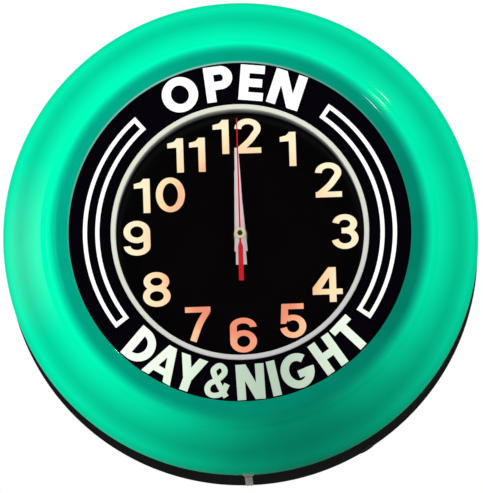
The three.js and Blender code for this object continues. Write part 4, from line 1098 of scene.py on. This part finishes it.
def pan_outline():
    """The steel pan: a seat for the cover, a pressed bead, a round corner, the side and the collar."""
    radius = PAN_RADIUS / MM
    wall = PAN_WALL / MM
    cover = COVER.radius / MM
    seat = COVER.front / MM + 0.3
    depth = RIM.back / MM
    collar = radius - 2.5
    outside = [
        (cover - 12, seat, 0.3),
        (cover + 0.3, seat, 0.6),
        (cover + 0.3, 0, 0.8),
        (radius - 30, 0, 2),
        (radius - 28, 1.1, 1.2),
        (radius - 23, 1.1, 1.2),
        (radius - 21, 0, 2),
        (radius, 0, 14),
        (radius, depth - wall, 0.6),
        (collar, depth, 0.6),
        (collar, depth + 17, 0.3),
    ]
    inside = [
        (collar - wall, depth + 17, 0.3),
        (collar - wall, depth - 0.4, 0.6),
        (radius - wall, depth - wall - 0.7, 0.6),
        (radius - wall, wall, 12.8),
        (radius - 21.3, wall, 1.5),
        (radius - 23.3, 1.1 + wall, 0.8),
        (radius - 27.7, 1.1 + wall, 0.8),
        (radius - 29.7, wall, 1.5),
        (cover + 0.3 + wall, wall, 0.5),
        (cover + 0.3 + wall, seat + wall, 0.6),
        (cover - 12, seat + wall, 0.3),
    ]
    return scaled(rounded(outside + inside, 6))


KEYHOLE = Vector((0, 0, 190 * MM))
GROMMET_ANGLE = -60
GROMMET_DEPTH = 30 * MM
KNOB_PLACE = middle("set_knob")
COVER_SCREW_RING = 68 * MM
THIRDS = (90, 210, 330)

keyhole_round = rod("keyhole_round", 6 * MM, -5 * MM, 5 * MM, 0, KEYHOLE.z)
keyhole_slot = slab("keyhole_slot", (-3 * MM, -5 * MM, KEYHOLE.z), (3 * MM, 5 * MM, KEYHOLE.z + 12 * MM))
inlet_hole = rod("inlet_hole", 7 * MM, -6 * MM, 6 * MM)
place(inlet_hole, spoke(GROMMET_ANGLE, PAN_RADIUS, GROMMET_DEPTH))

rim = turned("rim_shell", rim_outline())
add(rim, GREEN, "case", "green_plastic", "bezel")

pan = carve(turned("pan_shell", pan_outline()), keyhole_round, keyhole_slot, inlet_hole)
add(pan, ENAMEL, "case", "black_enamel", "rear_pan")

cover_edge = COVER.radius
cover = turned("cover_sheet", rounded([
    (0, COVER.back, 0), (cover_edge, COVER.back, 0.5 * MM),
    (cover_edge, COVER.front, 0.3 * MM), (0, COVER.front, 0),
]), 128)
sinks = []
for i, angle in enumerate(THIRDS):
    x = COVER_SCREW_RING * math.cos(math.radians(angle))
    z = COVER_SCREW_RING * math.sin(math.radians(angle))
    cone = turned(f"sink_{i}", scaled([(0, -1), (5.4, -1), (2.3, 2.1), (2.3, 4), (0, 4)]), SMALL_ROUND)
    sinks.append(place(cone, Matrix.Translation((x, 0, z))))
sinks.append(rod("knob_hole", 11 * MM, -5 * MM, 5 * MM, KNOB_PLACE.x, KNOB_PLACE.z))
add(carve(cover, *sinks), ENAMEL, "case", "black_enamel", "service_cover")

panel = turned("panel_sheet", rounded([
    (WELL.radius - 3.1 * MM, PANEL.back, 0.3 * MM), (PANEL.radius, PANEL.back, 0.3 * MM),
    (PANEL.radius, PANEL.front, 0.3 * MM), (WELL.radius - 3.1 * MM, PANEL.front, 0.3 * MM),
]))
add(panel, PANEL_BLACK, "case", "black_acrylic", "lettering_panel")

lip_back = PANEL.front + 0.3 * MM
well = turned("dial_well", rounded([
    (DIAL_CLEAR, WELL.back, 0.3 * MM), (DIAL_CLEAR + 2 * MM, WELL.back, 0.3 * MM),
    (DIAL_CLEAR + 2 * MM, lip_back, 0), (WELL.radius, lip_back, 0.4 * MM),
    (WELL.radius, WELL.front, 1.4 * MM), (DIAL_CLEAR, WELL.front, 1.2 * MM),
]))
add(well, CREAM, "case", "cream_plastic", "well_ring")

dial = turned("dial_face", rounded([
    (6.8 * MM, DIAL.back, 0.2 * MM), (DIAL.radius, DIAL.back, 0.2 * MM),
    (DIAL.radius, DIAL.front, 0.2 * MM), (6.8 * MM, DIAL.front, 0.2 * MM),
]))
add(dial, DIAL_BLACK, "case", "dial_black", "dial_plate")

# ---------------------------------------------------------------- knob, hub and screws

knob = fluted("knob", rounded(scaled([
    (0, KNOB.back / MM, 0), (8, KNOB.back / MM, 0.6), (8, KNOB.front / MM, 0.6), (0, KNOB.front / MM, 0),
]), 3), 20, 0.8 * MM)
place(knob, Matrix.Translation((KNOB_PLACE.x, 0, KNOB_PLACE.z)))
add(knob, PHENOLIC, "setting_train", "phenolic", "set_knob")

hub_back = HUB.back / MM
hub_front = HUB.front / MM
hub = fluted("hub_ring", rounded(scaled([
    (0, hub_back, 0), (5.6, hub_back, 0.3), (5.6, hub_front, 0.7), (3.5, hub_front, 0.4),
    (3.0, hub_front - 1.9, 0.3), (0, hub_front - 1.9, 0),
]), 3), 24, 0.25 * MM)
add(hub, HUB_BRASS, "second_train", "brass", "hub_cap")

# Painted shade: a black disc at the floor of the hub's shallow hollow, its dark colour standing for the
# shade in the hole.
socket = turned("hub_hole_shade", rounded(scaled([
    (0, hub_front - 1.85, 0), (2.8, hub_front - 1.85, 0.1), (2.8, hub_front - 1.6, 0.1),
    (0, hub_front - 1.6, 0),
]), 2), 6)
add(socket, RUBBER, "second_train", "rubber")


def screw(name, head, rise, shank, length):
    """A slotted screw that stands on depth nothing, with its head in front and its thread behind."""
    pitch = 0.8
    ridges = int((length - 1) / pitch)
    thread = []
    for i in range(ridges):
        back = -length + 1 + i * pitch
        thread += [(shank - 0.35, back), (shank, back + pitch / 2)]
    outline = [(0, -length), (shank - 0.6, -length), *thread, (shank, 0), (head, 0), (head, rise * 0.35)]
    outline += [
        (head * math.cos(math.radians(turn)), rise * (0.35 + 0.65 * math.sin(math.radians(turn))))
        for turn in (20, 40, 60, 75)
    ]
    outline.append((0, rise))
    made = turned(name, scaled(outline), SMALL_ROUND)
    low = (-2 * head * MM, -2 * rise * MM, -0.5 * MM)
    high = (2 * head * MM, -0.45 * rise * MM, 0.5 * MM)
    slot = slab(f"{name}_slot", low, high)
    return carve(made, slot)


SCREW_HEAD = 4
SCREW_RISE = 1.6
SCREW_SHANK = 1.9
for node, length in (("bezel_screw_left", 8), ("bezel_screw_right", 8), ("clip_screw", 7)):
    centre = middle(node)
    angle = math.degrees(math.atan2(centre.z, centre.x))
    low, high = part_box(node)
    far = max(math.hypot(x, z) for x in (low.x, high.x) for z in (low.z, high.z))
    made = screw(node + "_slotted", SCREW_HEAD, SCREW_RISE, SCREW_SHANK, length)
    seat = RIM.radius + 0.3 * MM
    if node == "clip_screw":
        seat = -low.z - (SCREW_RISE + 0.15) * MM
    place(made, spoke(angle, seat, -centre.y))
    add(made, NICKEL, "case", "nickel", node)

for i, angle in enumerate(THIRDS):
    x = COVER_SCREW_RING * math.cos(math.radians(angle))
    z = COVER_SCREW_RING * math.sin(math.radians(angle))
    ridges = [(1.6 + 0.4 * (step % 2), 2.6 + 0.4 * step) for step in range(15)]
    made = turned(f"cover_screw_{i + 1}_slotted", scaled([(0, 0.1), (3.9, 0.1), (2, 2), *ridges, (0, 9)]),
                  SMALL_ROUND)
    slot = slab("slot", (-6 * MM, -0.9 * MM, -0.45 * MM), (6 * MM, 2 * MM, 0.45 * MM))
    place(slot, Matrix.Rotation(math.radians(25 + 50 * i), 4, "Y"))
    place(carve(made, slot), Matrix.Translation((x, 0, z)))
    add(made, NICKEL, "case", "nickel", f"cover_screw_{i + 1}")


def clip_strip():
    """The steel clip under the rim: a bent strip with two pressed ribs and a wider head."""
    low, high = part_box("bottom_clip")
    outer = -low.z / MM - 0.8
    tail = -high.y / MM
    head = -low.y / MM
    inner = outer - 1
    bend = RIM.back / MM
    turns = [(inner, bend - 12), (inner, bend - 6), (outer, bend - 1), (outer, head)]
    path = [(inner, tail), *spline(turns, 6)]
    section = []
    for step in range(25):
        across = -1 + step / 12
        rib = math.exp(-((abs(across) - 0.5) / 0.16) ** 2)
        section.append((across, 0.6 * rib))
    rows = []
    for point in path:
        radius, depth = point
        near_head = min(1, max(0, (depth - bend) / 3))
        half = 4 + 2 * near_head
        top = [(across * half, depth, radius + rise) for across, rise in section]
        under = [(across * half, depth, radius - 0.9 + rise) for across, rise in reversed(section)]
        rows.append(top + under)
    count = len(rows[0])
    vertices = [(x * MM, -depth * MM, -radius * MM) for row in rows for x, depth, radius in row]
    faces = []
    for row in range(len(rows) - 1):
        for i in range(count):
            after = (i + 1) % count
            here = row * count
            there = here + count
            faces.append((here + i, here + after, there + after, there + i))
    side = len(section)
    for row in (0, len(rows) - 1):
        for i in range(side - 1):
            base = row * count
            faces.append((base + i, base + i + 1, base + count - 2 - i, base + count - 1 - i))
    return mesh_object("clip_strip", vertices, faces)


add(clip_strip(), NICKEL, "case", "nickel", "bottom_clip")

# ---------------------------------------------------------------- CAD nodes that keep their shape

KEPT = (
    (("movement_", "dial_nut", "centre_arbor", "hour_wheel", "minute_wheel", "third_wheel",
      "second_arbor", "motor_wheel"), BRASS, 0.15),
    (("dial_post", "hanger_plate", "tray_bracket", "motor_field"), STEEL, 0.3),
    (("panel_post", "motor_case"), NICKEL, 0.3),
    (("lamp_tray",), WHITE_ENAMEL, 0.3),
    (("neon_tube",), GLASS, 0),
    (("tube_support", "transformer_terminal"), PORCELAIN, 0.4),
    (("electrode_boot", "inlet_grommet", "lamp_lead", "motor_lead"), RUBBER, 0.3),
    (("hv_wire",), WIRE_RED, 0),
    (("transformer_case",), IRON, 0.8),
    (("terminal_block",), PHENOLIC, 0.4),
    (("motor_coil",), TAPE, 0.4),
    (("hour_hand", "minute_hand"), HAND_GREY, 0.25),
    (("second_hand",), HAND_RED, 0.2),
)
for prefixes, material, edge in KEPT:
    for node in sorted(nodes):
        if node.startswith(prefixes) and not nodes[node].hide_render:
            dress(node, material, edge * MM)

# ---------------------------------------------------------------- floor, light and camera

scene = bpy.context.scene
scene.view_settings.view_transform = "Standard"

FLOOR_DROP = 1.5  # below the middle of the clock
FLOOR_WIDTH = 12


def floor():
    """A pale floor seen only from above, well below the clock."""
    half = FLOOR_WIDTH / 2
    corners = ((-half, -half), (half, -half), (half, half), (-half, half))
    sheet = mesh_object("floor", [(x, y, -FLOOR_DROP) for x, y in corners], [(0, 1, 2, 3)])
    shading = Shading("floor_paint", 0.9)
    dark = (0.86, 0.86, 0.86)
    light = (0.9, 0.9, 0.9)
    shading.set("Base Color", shading.ramp(shading.noise(0.4, 3), (0.3, dark), (0.7, light)))
    shading.glow((0.5, 0.5, 0.5))
    back = shading.node("ShaderNodeNewGeometry").outputs["Backfacing"]
    clear = shading.node("ShaderNodeBsdfTransparent").outputs[0]
    share = shading.node("ShaderNodeMixShader", back, shading.surface.outputs[0], clear)
    output = shading.tree.nodes["Material Output"]
    shading.tree.links.new(share.outputs[0], output.inputs["Surface"])
    sheet.data.materials.append(shading.material)
    sheet.visible_glossy = False


def world():
    """White to the camera, a soft grey fill for dull surfaces, and for glossy ones grey at the sides
    and dark in front, as a dim room is."""
    sky = bpy.data.worlds.new("studio")
    scene.world = sky
    sky.use_nodes = True
    tree = sky.node_tree
    background = tree.nodes["Background"]
    path = tree.nodes.new("ShaderNodeLightPath")
    direction = tree.nodes.new("ShaderNodeTexCoord")
    split = tree.nodes.new("ShaderNodeSeparateXYZ")
    tree.links.new(direction.outputs["Generated"], split.inputs[0])
    gloss = tree.nodes.new("ShaderNodeMapRange")
    gloss.interpolation_type = "SMOOTHSTEP"
    for socket, value in (
        ("From Min", -0.95), ("From Max", -0.4), ("To Min", GLOSS_FRONT), ("To Max", GLOSS_SIDE),
    ):
        gloss.inputs[socket].default_value = value
    tree.links.new(split.outputs["Y"], gloss.inputs["Value"])
    fill = tree.nodes.new("ShaderNodeMapRange")
    fill.inputs["To Min"].default_value = FILL_LIGHT
    tree.links.new(gloss.outputs[0], fill.inputs["To Max"])
    tree.links.new(path.outputs["Is Glossy Ray"], fill.inputs["Value"])
    shown = tree.nodes.new("ShaderNodeMath")
    shown.operation = "MAXIMUM"
    tree.links.new(fill.outputs[0], shown.inputs[0])
    tree.links.new(path.outputs["Is Camera Ray"], shown.inputs[1])
    background.inputs["Color"].default_value = (1, 1, 1, 1)
    tree.links.new(shown.outputs[0], background.inputs["Strength"])


FILL_LIGHT = 0.55
GLOSS_FRONT = 0.01
GLOSS_SIDE = 0.02


def softbox(name, azimuth, elevation, distance, size, power, mirrored=False):
    """A soft light that faces the clock from an angle right of its front and above it.
    Only a mirrored one is seen as a reflection."""
    light = bpy.data.lights.new(name, "AREA")
    light.shape = "RECTANGLE"
    light.size, light.size_y = size
    light.energy = power
    lamp = bpy.data.objects.new(name, light)
    scene.collection.objects.link(lamp)
    lamp.matrix_world = aimed(azimuth, elevation, distance, Vector((0, 0, 0)))
    lamp.visible_glossy = mirrored


def aimed(azimuth, elevation, distance, target, roll=0.0):
    """The place of something that looks at the target from an angle right of its front and above it."""
    side = math.radians(azimuth)
    rise = math.radians(elevation)
    away = Vector((math.sin(side) * math.cos(rise), -math.cos(side) * math.cos(rise), math.sin(rise)))
    turn = away.to_track_quat("Z", "Y").to_matrix().to_4x4()
    return Matrix.Translation(target + away * distance) @ turn @ Matrix.Rotation(math.radians(roll), 4, "Z")


CAMERA_ANGLES = (0.8, -8.9)
CAMERA_DISTANCE = 16.0
CAMERA_LENS = 1114
CAMERA_TARGET = Vector((0.0004, -0.1, -0.0068))
CAMERA_ROLL = -1.8


def camera():
    """A long lens a few metres off, a little below the clock and turned a little."""
    lens = bpy.data.cameras.new("camera")
    lens.sensor_fit = "HORIZONTAL"
    lens.sensor_width = 36
    lens.lens = CAMERA_LENS
    lens.clip_end = 2 * CAMERA_DISTANCE
    eye = bpy.data.objects.new("camera", lens)
    scene.collection.objects.link(eye)
    eye.matrix_world = aimed(*CAMERA_ANGLES, CAMERA_DISTANCE, CAMERA_TARGET, roll=CAMERA_ROLL)
    scene.camera = eye


def reflector(name, azimuth, elevation, distance, size, glow):
    """A pale screen seen only as a reflection, brightest in its middle and fading to its edges."""
    half = (size[0] / 2, size[1] / 2)
    corners = [(x * half[0], y * half[1], 0) for x, y in ((-1, -1), (1, -1), (1, 1), (-1, 1))]
    sheet = mesh_object(name, corners, [(0, 1, 2, 3)])
    sheet.matrix_world = aimed(azimuth, elevation, distance, Vector((0, 0, 0)))
    shading = Shading(name, 1.0)
    x, y, _ = shading.split()
    fades = [
        shading.spread(shading.math("ABSOLUTE", value), 1, 0, 0, reach, smooth=True)
        for value, reach in ((x, half[0]), (y, half[1]))
    ]
    shading.set("Base Color", (0, 0, 0))
    shading.set("Specular IOR Level", 0.0)
    shading.glow((1.0, 1.0, 1.0))
    shading.set("Emission Strength", shading.math("MULTIPLY", shading.math("MULTIPLY", *fades), glow))
    sheet.data.materials.append(shading.material)
    sheet.visible_camera = False
    sheet.visible_diffuse = False
    sheet.visible_shadow = False
    sheet.visible_transmission = False


floor()
world()
softbox("key_left", -50, 25, 3.0, (1.5, 1.5), 60)
softbox("fill_right", 60, 10, 3.0, (1.5, 1.5), 20)
softbox("streak_right", 42, 39, 3.0, (0.05, 0.2), 24, mirrored=True)
reflector("reflector_left", -62, 6, 3.0, (1.6, 2.6), 1.0)
camera()

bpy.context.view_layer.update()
